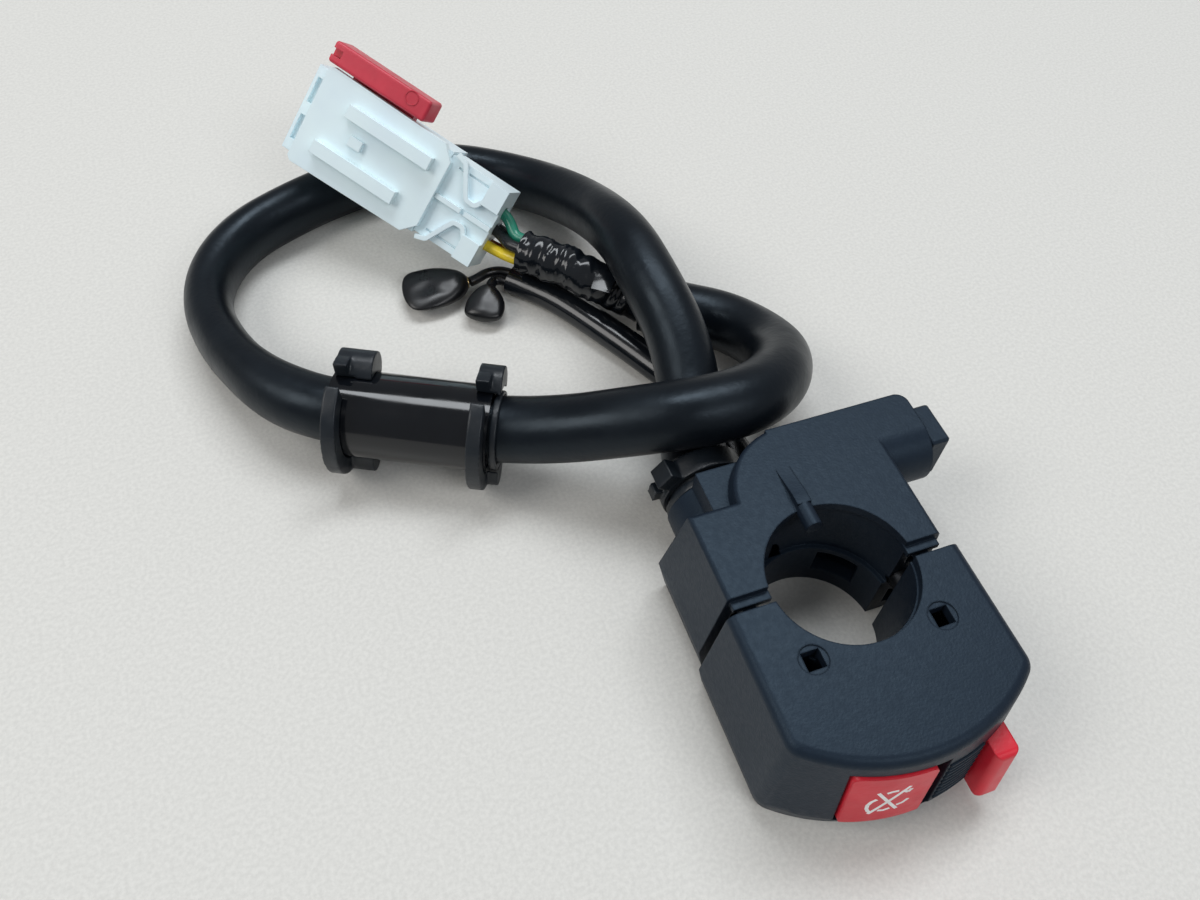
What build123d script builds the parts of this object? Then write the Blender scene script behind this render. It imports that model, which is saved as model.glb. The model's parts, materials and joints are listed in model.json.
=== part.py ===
from build123d import *
from math import cos, pi, radians, sin, sqrt, tan
import os

os.makedirs("parts", exist_ok=True)

# Right-hand handlebar switch cluster: two clamp halves with an engine stop rocker, a
# looped wiring harness with its plug, and a lead to the brake light switch.
# Millimetres. Origin on the handlebar's axis at the housing's lower end face, +Z along
# the bar, +Y towards the rear half, +X towards the throttle cable boss.

# Handlebar bore and housing walls
bore_r = 11.1  # for a 22.2 mm handlebar
bore_wall = 2.3
height = 23.0
wall = 2.2
waist_z = 6.0  # the walls are widest at this height
flare = 2.2  # how far the walls lean out between the top edge and the waist
foot_draft = 1.3  # how far they lean back in below the waist
parting_gap = 2.4
edge_round = 1.7
foot_round = 1.0
overrun = 1.0  # how far a cutting body runs past the face that it cuts
seat_gap = 0.1  # clearance between pieces that seat in each other

# Rear half
rear_left = 17.7
rear_right = 17.0
shoulder_y = 15.6
hollow_x = 9.6
hollow_mid_x = 6.6
hollow_mid_y = 22.4
rear_curve_x = 2.8
rear_y = 26.4
rear_edge_round = 0.8
lip = 1.7
lip_relief = 0.3  # the top of the bore is this much wider, round the peg
groove_low = 10.0
groove_depth = 0.8
bore_window_w = 6.8
bore_window_h = 5.4
bore_window_z = 6.1
bore_window_angle = 48.0

# Locating peg and its rib, on the rear half's end face
peg_r = 1.35
peg_x = -0.5
peg_tip_y = 8.0
peg_root_y = 13.6
peg_drop = 0.3
rib_tail_y = 19.2
rib_w = 2.3

# Throttle cable boss and the guide in its end
boss_r = 6.0
boss_end = 25.0
boss_y = 20.0
boss_corner = 2.0
guide_w = 7.6
guide_h = 9.6
guide_out = 3.6
guide_edge = 0.4
guide_shank_r = 3.8
guide_shank = 7.5
guide_bore_r = 2.6

# Harness outlet of the rear half
outlet_x = -8.4
outlet_z = 9.4
outlet_r = 7.7
outlet_end = 24.0
shelf_drop = 3.0
outlet_top = height - shelf_drop
outlet_left = 12.6
scoop_wall = 1.3  # left in the rear wall where it is scooped out beside the tie
cord_r = 5.7
grommet_wall = 0.6
grommet_fit = 0.15
flange_r = 7.4
flange_t = 1.4
grommet_tail = 5.6
tie_w = 3.8
tie_t = 1.0
tie_head_w = 3.6
tie_head_t = 2.4
tie_angle = 142.0
tie_tail_w = 2.2
tie_tail_out = 1.6
tie_tail_angle = 172.0

# Lead outlet beside it
lead_r = 2.8
lead_x = 2.6
lead_z = 3.6
lead_collar_r = 3.6
lead_collar_out = 1.6

# Tongues between the halves
tongue_h = 2.4
tongue_reach = 0.9
tongue_root = 3.4
step_drop = 1.2
step_inset = 0.5
step_gap = 1.3

# Clamp screw and its square nut, in the right-hand lug
screw_x = 14.0
screw_below = 0.5  # below the housing's middle
screw_z = height / 2 - screw_below
screw_r = 2.0
screw_hole_r = 2.2
screw_head_r = 3.3
screw_head_h = 2.8
screw_socket_r = 1.5
screw_socket_depth = 1.6
screw_seat_y = 10.5
screw_well_r = 3.6
screw_boss_w = 8.6
nut_w = 6.6
nut_t = 3.2
nut_y = -9.0
screw_end_y = -12.4
nut_boss_end_y = -14.0

# Switch half
front_r = 28.1
side_x = 18.7
corner_r = 3.0
core_x = 10.2
core_y = -10.8
core_w = 2.8
core_dish_r = 2.2
core_dish = 0.25
hatch_w = 14.0
hatch_low = 5.0
hatch_drop = 5.0
hatch_high = height - hatch_drop

# Engine stop rocker: plate at its left end, fin at its right, hinge between
plate_left = -11.4
plate_right = 0.4
plate_low = 5.4
plate_drop = 3.6
plate_high = height - plate_drop
plate_t = 2.6
plate_gap = 0.45
plate_swing_gap = 1.9
plate_proud = 0.3
plate_corner = 1.2
web_left = -8.6
web_right = -1.4
fin_left = 9.9
fin_right = 13.6
fin_low = 4.2
fin_drop = 3.2
fin_high = plate_high - fin_drop
fin_top_y = -30.2
fin_low_y = -32.2
fin_round = 1.2
fin_swing_gap = 1.3
hinge_x = 4.2
hinge_y = -23.6
hub_r = 2.1
pin_r = 1.0
pin_fit = 0.05
arm_left = -9.8
arm_back = -21.6
arm_front = -24.3
arm_low = 5.8
arm_drop = 2.0
arm_high = plate_high - arm_drop
rocker_travel = 12.0  # degrees

# Contact base behind the rocker, and what it carries
base_front = -18.7
base_t = 2.0
base_half = 14.0
base_low = 3.4
base_high = plate_high
post_w = 2.4
post_t = 2.4
base_screw_r = 0.9
base_screw_head_r = 1.6
base_screw_head = 1.0
base_screw_depth = 1.5
base_screw_z = 5.6
detent_x = -2.6
detent_z = (arm_low + arm_high) / 2
detent_r = 1.1
detent_fit = 0.05
detent_boss_r = 2.0
detent_boss_y = -20.4
detent_hole_end = -23.4
detent_gap = 0.2
spring_r = 0.9
spring_core_r = 0.6
spring_length = 1.2
leaf_left = 7.8
leaf_right = 11.2
leaf_t = 0.5
button_x = 9.4
button_r = 0.9
button_t = 0.7
button_z_step = 4.4
fixed_button_r = 1.6
rivet_r = 0.9
strip_t = 0.6
strip_w = 1.8
strip_end = -7.6
contact_gap = 0.12

# Wires inside the housing
inner_wire_r = 0.8

# Sleeve and clips on the harness
sleeve_r = 7.5
sleeve_fit = 0.35
sleeve_length = 27.0
clip_r = 10.6
clip_t = 2.4
clip_inset = 0.4  # from the sleeve's end
clip_gap_w = 4.4
clip_gap_angle = 88.0
lug_out = 0.6
ear_r = 3.4
ear_angle = 128.0
foot_r = 2.8
foot_angle = -70.0
left_lug_w = 6.2
right_lug_w = 4.2
ring_r = 6.8
ring_t = 1.2
ring_space = 0.3

# Tape wrap over the branch to the plug
tape_r = 3.9

# Plug: x runs from the mating end to the wires, y towards the red lock, z up
plug_centre = (-44.2, 110.6, 22.6)
plug_along = (0.643, -0.713, -0.279)
plug_up = (-0.444, -0.646, 0.626)
plug_len = 29.0
plug_w = 20.0
plug_h = 10.5
cover_t = 1.6
cover_corner = 2.6
body_inset = 1.2
body_short = 0.8
shroud_out = 2.6
shroud_drop = 2.0
shroud_wall = 1.3
shroud_depth = 13.0
slot_w = 5.2
slot_y = 3.9
slot_deep = 0.8
slot_edge = 0.7
rail_len = 18.6
rail_w = 2.6
rail_high = 1.7
rail_y = 4.7
rail_x = 0.6
rail_x_step = 1.6
nub_len = 2.8
nub_w = 2.0
nub_high = 1.0
nub_x = -4.6
tail_reach = 12.6
tail_w = 16.6
tail_h = 7.2
tail_drop = 1.7
end_lug_len = 3.9
end_lug_w = 4.9
end_lug_h = 1.5
tail_rib_w = 1.0
tail_rib_h = 0.9
tail_rib_gap = 0.8
tail_rib_gap_share = 0.5
tail_slit = 0.4
tail_slit_in = 1.5
arm_w = 0.9
arm_h = 1.2
# places of one wavy arm, as shares of the tail's reach and of its half width
arm_shares = [(0.03, 1.08), (0.2, 1.0), (0.36, 0.56), (0.46, 0.3), (0.62, 0.28), (0.74, 0.56)]
arm_bend_share = 0.06
wire_hole_r = 1.25
wire_columns = 3
wire_rows = 2
wire_pitch = 3.6
wire_row_pitch = 2.6
carrier_gap = 0.5
carrier_back = 0.8
contact_pin_r = 0.6
contact_pin_end = 0.5
contact_crimp_r = 1.15
contact_crimp_len = 14.0
lock_len = 21.5
lock_w = 4.2
lock_h = 6.6
lock_x = -15.2
lock_rise = 0.6
lock_travel = 4.0
lock_tongue_h = 2.4
lock_tongue_in = 1.5
lock_tongue_x = -11.5
lock_tongue_len = 14.0
lock_notch_len = 2.2
lock_notch = 1.4
lock_edge = 0.6

# Wires from the tape into the plug
plug_wire_r = 1.1
plug_wire_out = 0.8  # how far a wire runs straight out of the plug
plug_wire_in = 2.4  # and into the tape
# cavity of each wire in the plug, counted from the middle, and its place on the tape's end
wire_cavities = {
    "yellow": [((-1, 0.5), (-2.0, -1.2))],
    "brown": [((-1, -0.5), (-1.6, 1.5))],
    "green": [((1, 0.5), (2.1, -0.7))],
    "black": [((0, 0.5), (0.3, -2.4)), ((0, -0.5), (0.9, 1.9))],
}

# Boots and terminals at the lead's end
boot_h = 5.2
boot_gap = 0.3
boot_round = 1.5
# outline of a boot: shares of its length and of its width
boot_shares = [(0.0, 0.2), (0.36, 0.5), (0.72, 0.44), (1.0, 0.29)]
spade_len = 5.4
spade_w = 3.8
spade_t = 0.8
spade_barrel_r = 1.2
spade_barrel_len = 2.6
tail_wire_r = 1.0

# Routes, chosen by hand. The harness leaves the rear half, crosses over its own last
# stretch, rounds the far side, runs through the sleeve, and passes over its own start
harness_route = [
    (-8.4, 20.5, 9.4),
    (-8.4, 32.6, 9.4),
    (-3.6, 43.6, 10.6),
    (-2.0, 55.0, 15.4),
    (-3.2, 66.4, 18.4),
    (-3.6, 79.4, 18.4),
    (-4.8, 97.0, 11.0),
    (-11.4, 111.4, 6.3),
    (-26.8, 121.2, 5.8),
    (-42.4, 123.4, 5.7),
    (-57.8, 118.8, 5.7),
    (-71.9, 110.8, 5.7),
    (-80.9, 98.0, 6.0),
    (-77.8, 79.1, 8.4),
    (-68.5, 63.5, 10.8),
    (-32.8, 45.8, 10.8),
    (-13.6, 35.1, 20.9),
    (-1.5, 33.3, 21.6),
    (8.2, 37.4, 18.4),
    (14.9, 45.9, 12.8),
    (15.8, 54.8, 8.2),
    (11.9, 63.4, 6.0),
    (3.9, 68.9, 5.7),
    (-0.8, 72.6, 5.7),
]
tape_route = [
    (-0.9, 72.66, 5.7),
    (-4.8, 75.0, 6.5),
    (-9.4, 77.9, 9.6),
    (-14.4, 82.2, 10.6),
    (-20.4, 88.6, 10.4),
]
lead_route = [
    (2.6, 25.0, 3.6),
    (2.6, 33.4, 3.6),
    (1.4, 43.0, 2.9),
    (0.2, 52.0, 2.8),
    (-3.2, 58.4, 2.8),
    (-6.4, 64.8, 2.8),
    (-10.9, 73.0, 2.8),
    (-15.6, 81.2, 2.8),
    (-19.6, 85.9, 2.8),
    (-23.0, 89.4, 2.8),
]
# Each tail of the lead ends at its boot, which is given by length, width and heading
tail_routes = [
    [
        (-22.2, 90.3, 2.8),
        (-24.0, 92.1, 2.8),
        (-27.2, 92.5, 2.8),
        (-29.6, 91.4, 2.8),
        (-31.2, 91.0, 2.8),
    ],
    [
        (-23.9, 88.6, 2.8),
        (-25.1, 89.8, 2.8),
        (-26.9, 89.9, 2.8),
        (-27.8, 88.4, 2.8),
    ],
]
boots = [(12.4, 9.6, 176.0), (8.6, 7.6, 243.0)]
# The leads inside the housing, from the contact strips to the harness
inner_routes = [
    [
        (-7.8, -15.8, 9.4),
        (-9.2, -15.0, 9.4),
        (-12.8, -11.4, 9.2),
        (-15.6, -4.8, 8.8),
        (-15.6, 5.0, 8.4),
        (-12.6, 12.2, 8.0),
        (-9.4, 20.0, 8.0),
    ],
    [
        (-7.8, -15.8, 13.8),
        (-9.2, -15.0, 13.8),
        (-12.8, -11.4, 13.4),
        (-15.6, -4.8, 12.8),
        (-15.6, 5.0, 12.0),
        (-12.4, 12.2, 11.2),
        (-9.4, 20.0, 11.0),
    ],
]


def corner_radii(route, share=0.45):
    """The largest arc at each corner of a route, from a share of its shorter run."""
    radii = []
    for before, here, after in zip(route, route[1:], route[2:]):
        first = Vector(*here) - Vector(*before)
        second = Vector(*after) - Vector(*here)
        half_turn = radians(first.get_angle(second)) / 2
        radii.append(share * min(first.length, second.length) / tan(half_turn))
    return radii


def tube(name, route, radius):
    """A round cord along straight runs and tangent arcs, with its sizes printed."""
    radii = corner_radii(route)
    with BuildPart() as cord:
        with BuildLine() as path:
            FilletPolyline(*route, radius=radii)
        route_line = path.wires()[0]
        with BuildSketch(Plane(origin=route_line @ 0, z_dir=route_line % 0)):
            Circle(radius)
        sweep()
    length = route_line.length
    share = cord.part.volume / (pi * radius**2 * length)
    print(name, "length", round(length, 1), "volume over section times length", round(share, 4))
    print(name, "radii", [round(r, 1) for r in radii])
    return cord.part


def rod(start, end, radius, mode=Mode.ADD):
    """A cylinder from one point to another, in the part that is being made."""
    line = Vector(*end) - Vector(*start)
    with Locations(Plane(origin=start, z_dir=line)):
        Cylinder(radius, line.length, align=(Align.CENTER, Align.CENTER, Align.MIN), mode=mode)


def block(low, high, mode=Mode.ADD):
    """A box between two corners, in the part that is being made."""
    size = [b - a for a, b in zip(low, high)]
    middle = [(a + b) / 2 for a, b in zip(low, high)]
    with Locations(tuple(middle)):
        Box(*size, mode=mode)


def switch_outline(grow):
    """D shape: straight sides and a front concentric with the bar."""
    x = side_x + grow
    r = front_r + grow
    y = -sqrt(r**2 - x**2)
    with BuildSketch() as outline:
        with BuildLine():
            Line((x, y), (x, bore_r))
            Line((x, bore_r), (-x, bore_r))
            Line((-x, bore_r), (-x, y))
            ThreePointArc((-x, y), (0, -r), (x, y))
        make_face()
        fillet(outline.vertices().sort_by(Axis.Y)[:2], corner_r)
    return outline.sketch


def rear_outline(grow):
    """A square left shoulder, a curved hollow and a straight back."""
    left = -rear_left - grow
    right = rear_right + grow
    turn = grow * sin(radians(45))
    with BuildSketch() as outline:
        with BuildLine():
            Line((left, -bore_r), (left, shoulder_y + grow))
            Line((left, shoulder_y + grow), (-hollow_x - grow, shoulder_y + grow))
            ThreePointArc(
                (-hollow_x - grow, shoulder_y + grow),
                (-hollow_mid_x - turn, hollow_mid_y + turn),
                (rear_curve_x, rear_y + grow),
            )
            Line((rear_curve_x, rear_y + grow), (right, rear_y + grow))
            Line((right, rear_y + grow), (right, -bore_r))
            Line((right, -bore_r), (left, -bore_r))
        make_face()
    return outline.sketch


def barrel(outline, inset):
    """A body that is widest at the waist and leans in above and below it."""
    top = height - inset
    with BuildPart() as body:
        with BuildSketch(Plane.XY.offset(inset)):
            add(outline(flare - foot_draft * (waist_z - inset) / waist_z - inset))
        with BuildSketch(Plane.XY.offset(waist_z)):
            add(outline(flare - inset))
        with BuildSketch(Plane.XY.offset(top)):
            add(outline(flare * (height - top) / (height - waist_z) - inset))
        loft(ruled=True)
    return body.part


far = 2 * front_r  # past every wall of the housing
column_r = bore_r + bore_wall
split_y = parting_gap / 2
screw_low = screw_z - screw_boss_w / 2
screw_high = screw_z + screw_boss_w / 2
tongue_top = height - wall - seat_gap
tongue_low = tongue_top - tongue_h
root_y = split_y + tongue_root

# Rear half. First the room inside it, round the bore wall, the screw's boss and the
# roots of the two tongues
scoop_r = cord_r + grommet_fit + grommet_wall + seat_gap + tie_t + seat_gap
scoop_y = outlet_end - scoop_wall
with BuildPart() as rear_room:
    add(barrel(rear_outline, wall))
    rod((outlet_x, scoop_y, outlet_z), (outlet_x, far, outlet_z), scoop_r + scoop_wall,
        Mode.SUBTRACT)
    rod((0, 0, 0), (0, 0, height), column_r, Mode.SUBTRACT)
    block((bore_r, 0, screw_low), (far, screw_seat_y, screw_high), Mode.SUBTRACT)
    block((-far, 0, tongue_low), (-bore_r, root_y, height), Mode.SUBTRACT)
    block((bore_r, 0, tongue_low), (far, root_y, height), Mode.SUBTRACT)

boss_z = height - boss_r
peg_z = height - peg_drop
with BuildPart() as rear_housing:
    add(barrel(rear_outline, 0))
    top_edges = rear_housing.faces().sort_by(Axis.Z)[-1].edges()
    foot_edges = rear_housing.faces().sort_by(Axis.Z)[0].edges()
    fillet(top_edges.filter_by_position(Axis.Y, 0, far), rear_edge_round)
    fillet(foot_edges.filter_by_position(Axis.Y, 0, far), foot_round)
    # the throttle cable boss, round in front and square behind
    rod((0, boss_y, boss_z), (boss_end, boss_y, boss_z), boss_r)
    with BuildSketch(Plane.XY.offset(boss_z - boss_r)) as boss_back:
        with BuildLine():
            Polyline(
                (0, boss_y), (boss_end, boss_y), (boss_end, rear_y), (0, rear_y), close=True
            )
        make_face()
        fillet(boss_back.vertices().group_by(Axis.X)[-1].sort_by(Axis.Y)[-1], boss_corner)
    extrude(amount=2 * boss_r)
    # the harness outlet with its flat shelf, and the lead's collar
    rod((outlet_x, 0, outlet_z), (outlet_x, outlet_end, outlet_z), outlet_r)
    block((-outlet_left, 0, outlet_z), (0, outlet_end, outlet_top))
    rod((outlet_x, outlet_end, outlet_z), (outlet_x, far, outlet_z), scoop_r, Mode.SUBTRACT)
    collar_end = rear_y + flare + lead_collar_out
    rod((lead_x, boss_y, lead_z), (lead_x, collar_end, lead_z), lead_collar_r)
    # hollowed out, cut at the parting and bored for the handlebar
    add(rear_room.part, mode=Mode.SUBTRACT)
    block((-far, -far, -overrun), (far, split_y, height + overrun), Mode.SUBTRACT)
    rod((0, 0, -overrun), (0, 0, height + overrun), bore_r, Mode.SUBTRACT)
    rod((0, 0, groove_low), (0, 0, height - lip), bore_r + groove_depth, Mode.SUBTRACT)
    rod((0, 0, height - lip), (0, 0, height + overrun), bore_r + lip_relief, Mode.SUBTRACT)
    window_turn = Rotation(0, 0, bore_window_angle)
    window = Box(
        column_r,
        bore_window_w,
        bore_window_h,
        align=(Align.MIN, Align.CENTER, Align.CENTER),
        mode=Mode.PRIVATE,
    )
    window_at = Pos(0, 0, bore_window_z) * window_turn * Pos(bore_r / 2, 0, 0)
    add(window_at * window, mode=Mode.SUBTRACT)
    # holes for the harness, the lead, the cable guide and the clamp screw
    hole_r = cord_r + grommet_fit + grommet_wall + seat_gap
    hole_start = (outlet_x, shoulder_y - 2 * wall, outlet_z)
    rod(hole_start, (outlet_x, outlet_end + overrun, outlet_z), hole_r, Mode.SUBTRACT)
    rod((lead_x, boss_y, lead_z), (lead_x, far, lead_z), lead_r + seat_gap, Mode.SUBTRACT)
    guide_from = (rear_right - wall - flare, boss_y, boss_z)
    rod(guide_from, (far, boss_y, boss_z), guide_shank_r + seat_gap, Mode.SUBTRACT)
    rod((screw_x, 0, screw_z), (screw_x, far, screw_z), screw_hole_r, Mode.SUBTRACT)
    rod((screw_x, screw_seat_y, screw_z), (screw_x, far, screw_z), screw_well_r, Mode.SUBTRACT)
    # the locating peg, with the rib that stiffens it
    rod((peg_x, peg_root_y, peg_z), (peg_x, peg_tip_y, peg_z), peg_r)
    with BuildSketch(Plane.YZ.offset(peg_x - rib_w / 2)):
        with BuildLine():
            Polyline(
                (bore_r + peg_r / 2, height - peg_r),
                (bore_r + peg_r / 2, peg_z + peg_r),
                (peg_root_y, peg_z + peg_r),
                (rib_tail_y, height),
                (rib_tail_y, height - peg_r),
                close=True,
            )
        make_face()
    extrude(amount=rib_w)
    # a stepped tongue at each lug reaches into the switch half
    for side, half in ((-1, rear_left), (1, rear_right)):
        outer = half + flare * wall / height - wall - seat_gap
        inner, outer = side * (column_r + seat_gap), side * outer
        low = (min(inner, outer), -split_y - tongue_reach, tongue_low)
        block(low, (max(inner, outer), root_y, tongue_top))
        inner, outer = side * (bore_r + seat_gap), side * (half - step_inset)
        low = (min(inner, outer), split_y - step_gap, height - wall)
        block(low, (max(inner, outer), root_y, height - step_drop))
rear_housing.part.label = "rear_housing"
export_step(rear_housing.part, "parts/rear_housing.step")

# Switch half: first the room inside it, round the bore wall and the nut's boss
with BuildPart() as switch_room:
    add(barrel(switch_outline, wall))
    rod((0, 0, 0), (0, 0, height), column_r, Mode.SUBTRACT)
    block((bore_r, nut_boss_end_y, screw_low), (far, 0, screw_high), Mode.SUBTRACT)

post_y = base_front + base_t
post_x = base_half - post_w / 2
with BuildPart() as switch_housing:
    add(barrel(switch_outline, 0))
    top_edges = switch_housing.faces().sort_by(Axis.Z)[-1].edges()
    foot_edges = switch_housing.faces().sort_by(Axis.Z)[0].edges()
    fillet(top_edges.filter_by_position(Axis.Y, -far, 0), edge_round)
    fillet(foot_edges.filter_by_position(Axis.Y, -far, 0), foot_round)
    add(switch_room.part, mode=Mode.SUBTRACT)
    block((-far, -split_y, -overrun), (far, far, height + overrun), Mode.SUBTRACT)
    rod((0, 0, -overrun), (0, 0, height + overrun), bore_r, Mode.SUBTRACT)
    rod((0, 0, height - lip), (0, 0, height + overrun), bore_r + lip_relief, Mode.SUBTRACT)
    hatch = (-hatch_w / 2, -column_r - overrun, hatch_low)
    block(hatch, (hatch_w / 2, 0, hatch_high), Mode.SUBTRACT)
    # the windows of the rocker's plate and of its fin
    low = (plate_left - plate_gap, -far, plate_low - plate_gap)
    high = (plate_right + plate_swing_gap, arm_back, plate_high + plate_gap)
    block(low, high, Mode.SUBTRACT)
    low = (fin_left - plate_gap, -far, fin_low - plate_gap)
    high = (fin_right + fin_swing_gap, arm_back + base_t, fin_high + plate_gap)
    block(low, high, Mode.SUBTRACT)
    # square coring holes in shallow round dishes
    with Locations((-core_x, core_y, height), (core_x, core_y, height)):
        Cylinder(core_dish_r, 2 * core_dish, mode=Mode.SUBTRACT)
        Box(core_w, core_w, 2 * (wall + overrun), mode=Mode.SUBTRACT)
    # posts for the contact base, and the sockets of the hinge pin
    for x in (-post_x, post_x):
        low = (x - post_w / 2, post_y, wall / 2)
        block(low, (x + post_w / 2, post_y + post_t, height - wall / 2))
        hole_end = post_y + base_screw_depth + seat_gap
        rod((x, post_y, base_screw_z), (x, hole_end, base_screw_z), base_screw_r + pin_fit,
            Mode.SUBTRACT)
    rod((hinge_x, hinge_y, wall / 2), (hinge_x, hinge_y, height - wall / 2), pin_r + pin_fit,
        Mode.SUBTRACT)
    # the clamp screw's hole and the pocket for its nut
    rod((screw_x, 0, screw_z), (screw_x, screw_end_y - overrun, screw_z), screw_hole_r,
        Mode.SUBTRACT)
    pocket = nut_w / 2 + seat_gap
    low = (screw_x - pocket, nut_y - nut_t / 2 - seat_gap, screw_z - pocket)
    high = (screw_x + pocket, nut_y + nut_t / 2 + seat_gap, screw_high + overrun)
    block(low, high, Mode.SUBTRACT)
switch_housing.part.label = "switch_housing"
export_step(switch_housing.part, "parts/switch_housing.step")

# Cable guide: a square block with a round shank in the throttle cable boss
with BuildPart() as cable_guide:
    low = (boss_end + seat_gap, boss_y - guide_w / 2, boss_z - guide_h / 2)
    block(low, (boss_end + guide_out, boss_y + guide_w / 2, boss_z + guide_h / 2))
    chamfer(cable_guide.edges(), guide_edge)
    rod((boss_end - guide_shank, boss_y, boss_z), (boss_end + guide_out / 2, boss_y, boss_z),
        guide_shank_r)
    rod((0, boss_y, boss_z), (far, boss_y, boss_z), guide_bore_r, Mode.SUBTRACT)
cable_guide.part.label = "cable_guide"
export_step(cable_guide.part, "parts/cable_guide.step")

# Clamp screw with a hexagon socket, and its square nut
with BuildPart() as clamp_screw:
    rod((screw_x, screw_end_y, screw_z), (screw_x, screw_seat_y, screw_z), screw_r)
    head_end = screw_seat_y + screw_head_h
    rod((screw_x, screw_seat_y, screw_z), (screw_x, head_end, screw_z), screw_head_r)
    with BuildSketch(Plane(origin=(screw_x, head_end, screw_z), z_dir=(0, 1, 0))):
        RegularPolygon(screw_socket_r, 6)
    extrude(amount=-screw_socket_depth, mode=Mode.SUBTRACT)
clamp_screw.part.label = "clamp_screw"
export_step(clamp_screw.part, "parts/clamp_screw.step")

with BuildPart() as clamp_nut:
    low = (screw_x - nut_w / 2, nut_y - nut_t / 2, screw_z - nut_w / 2)
    block(low, (screw_x + nut_w / 2, nut_y + nut_t / 2, screw_z + nut_w / 2))
    rod((screw_x, nut_y - nut_t, screw_z), (screw_x, nut_y + nut_t, screw_z), screw_r + pin_fit,
        Mode.SUBTRACT)
clamp_nut.part.label = "clamp_nut"
export_step(clamp_nut.part, "parts/clamp_nut.step")

# Grommet that holds the harness in its outlet, and the tie round it
grommet_r = cord_r + grommet_fit + grommet_wall
flange_y = outlet_end + seat_gap
tail_y = flange_y + flange_t + grommet_tail
with BuildPart() as cord_grommet:
    rod((outlet_x, shoulder_y, outlet_z), (outlet_x, tail_y, outlet_z), grommet_r)
    rod((outlet_x, flange_y, outlet_z), (outlet_x, flange_y + flange_t, outlet_z), flange_r)
    rod((outlet_x, 0, outlet_z), (outlet_x, far, outlet_z), cord_r + grommet_fit, Mode.SUBTRACT)
cord_grommet.part.label = "cord_grommet"
export_step(cord_grommet.part, "parts/cord_grommet.step")

tie_y = flange_y + flange_t + grommet_tail / 2
tie_in = grommet_r + seat_gap
tie_out = tie_in + tie_t


def ray_frame(origin, along, angle):
    """A plane across a cord, with its x axis at an angle above the level."""
    level = Vector(0, 0, 1).cross(Vector(*along)) * -1
    out = level.normalized() * cos(radians(angle)) + Vector(0, 0, 1) * sin(radians(angle))
    return Plane(origin=origin, x_dir=out, z_dir=along)


head_frame = ray_frame((outlet_x, tie_y, outlet_z), (0, 1, 0), tie_angle)
end_frame = ray_frame((outlet_x, tie_y, outlet_z), (0, 1, 0), tie_tail_angle)
with BuildPart() as cord_tie:
    with Locations(head_frame):
        Cylinder(tie_out, tie_w)
    with Locations(head_frame):
        Box(tie_out + tie_head_t, tie_head_w, tie_head_w, align=(Align.MIN, Align.CENTER,
            Align.CENTER))
    with Locations(end_frame):
        Box(tie_out + tie_tail_out, tie_tail_w, tie_tail_w, align=(Align.MIN, Align.CENTER,
            Align.CENTER))
    with Locations(head_frame):
        Cylinder(tie_in, 2 * tie_head_w, mode=Mode.SUBTRACT)
cord_tie.part.label = "cord_tie"
export_step(cord_tie.part, "parts/cord_tie.step")


# Engine stop rocker: its plate follows the housing's face
with BuildPart() as rocker_fin:
    with BuildSketch(Plane.YZ.offset(fin_left)):
        with BuildLine():
            Polyline(
                (arm_back, fin_low),
                (fin_low_y, fin_low),
                (fin_top_y, fin_high),
                (arm_back, fin_high),
                close=True,
            )
        make_face()
    extrude(amount=fin_right - fin_left)
    fillet(rocker_fin.faces().sort_by(Axis.Y)[0].edges(), fin_round)

with BuildPart() as rocker_web:
    block((web_left, -far, arm_low), (web_right, arm_front, arm_high))
    add(barrel(switch_outline, plate_t / 2), mode=Mode.INTERSECT)

with BuildPart() as kill_rocker:
    with BuildSketch(Plane.XZ):
        with Locations(((plate_left + plate_right) / 2, (plate_low + plate_high) / 2)):
            RectangleRounded(plate_right - plate_left, plate_high - plate_low, plate_corner)
    extrude(amount=far)
    add(barrel(switch_outline, -plate_proud), mode=Mode.INTERSECT)
    add(barrel(switch_outline, plate_t), mode=Mode.SUBTRACT)
    add(rocker_web.part)
    add(rocker_fin.part)
    block((arm_left, arm_front, arm_low), (fin_left, arm_back, arm_high))
    rod((hinge_x, hinge_y, arm_low), (hinge_x, hinge_y, arm_high), hub_r)
    rod((hinge_x, hinge_y, 0), (hinge_x, hinge_y, height), pin_r + pin_fit, Mode.SUBTRACT)
    rod((detent_x, arm_back, detent_z), (detent_x, detent_hole_end, detent_z),
        detent_r + detent_fit, Mode.SUBTRACT)
kill_rocker.part.label = "kill_rocker"
export_step(kill_rocker.part, "parts/kill_rocker.step")

with BuildPart() as rocker_pin:
    rod((hinge_x, hinge_y, wall / 2 + seat_gap), (hinge_x, hinge_y, height - wall / 2 - seat_gap),
        pin_r)
rocker_pin.part.label = "rocker_pin"
export_step(rocker_pin.part, "parts/rocker_pin.step")

# Detent: a spring in the rocker presses a plunger on the contact base
spring_end = detent_hole_end + spring_length
with BuildPart() as detent_spring:
    rod((detent_x, detent_hole_end, detent_z), (detent_x, spring_end, detent_z), spring_r)
    rod((detent_x, detent_hole_end, detent_z), (detent_x, spring_end, detent_z), spring_core_r,
        Mode.SUBTRACT)
detent_spring.part.label = "detent_spring"
export_step(detent_spring.part, "parts/detent_spring.step")

with BuildPart() as detent_plunger:
    rod((detent_x, spring_end, detent_z), (detent_x, detent_boss_y - detent_gap, detent_z),
        detent_r)
detent_plunger.part.label = "detent_plunger"
export_step(detent_plunger.part, "parts/detent_plunger.step")

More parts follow.
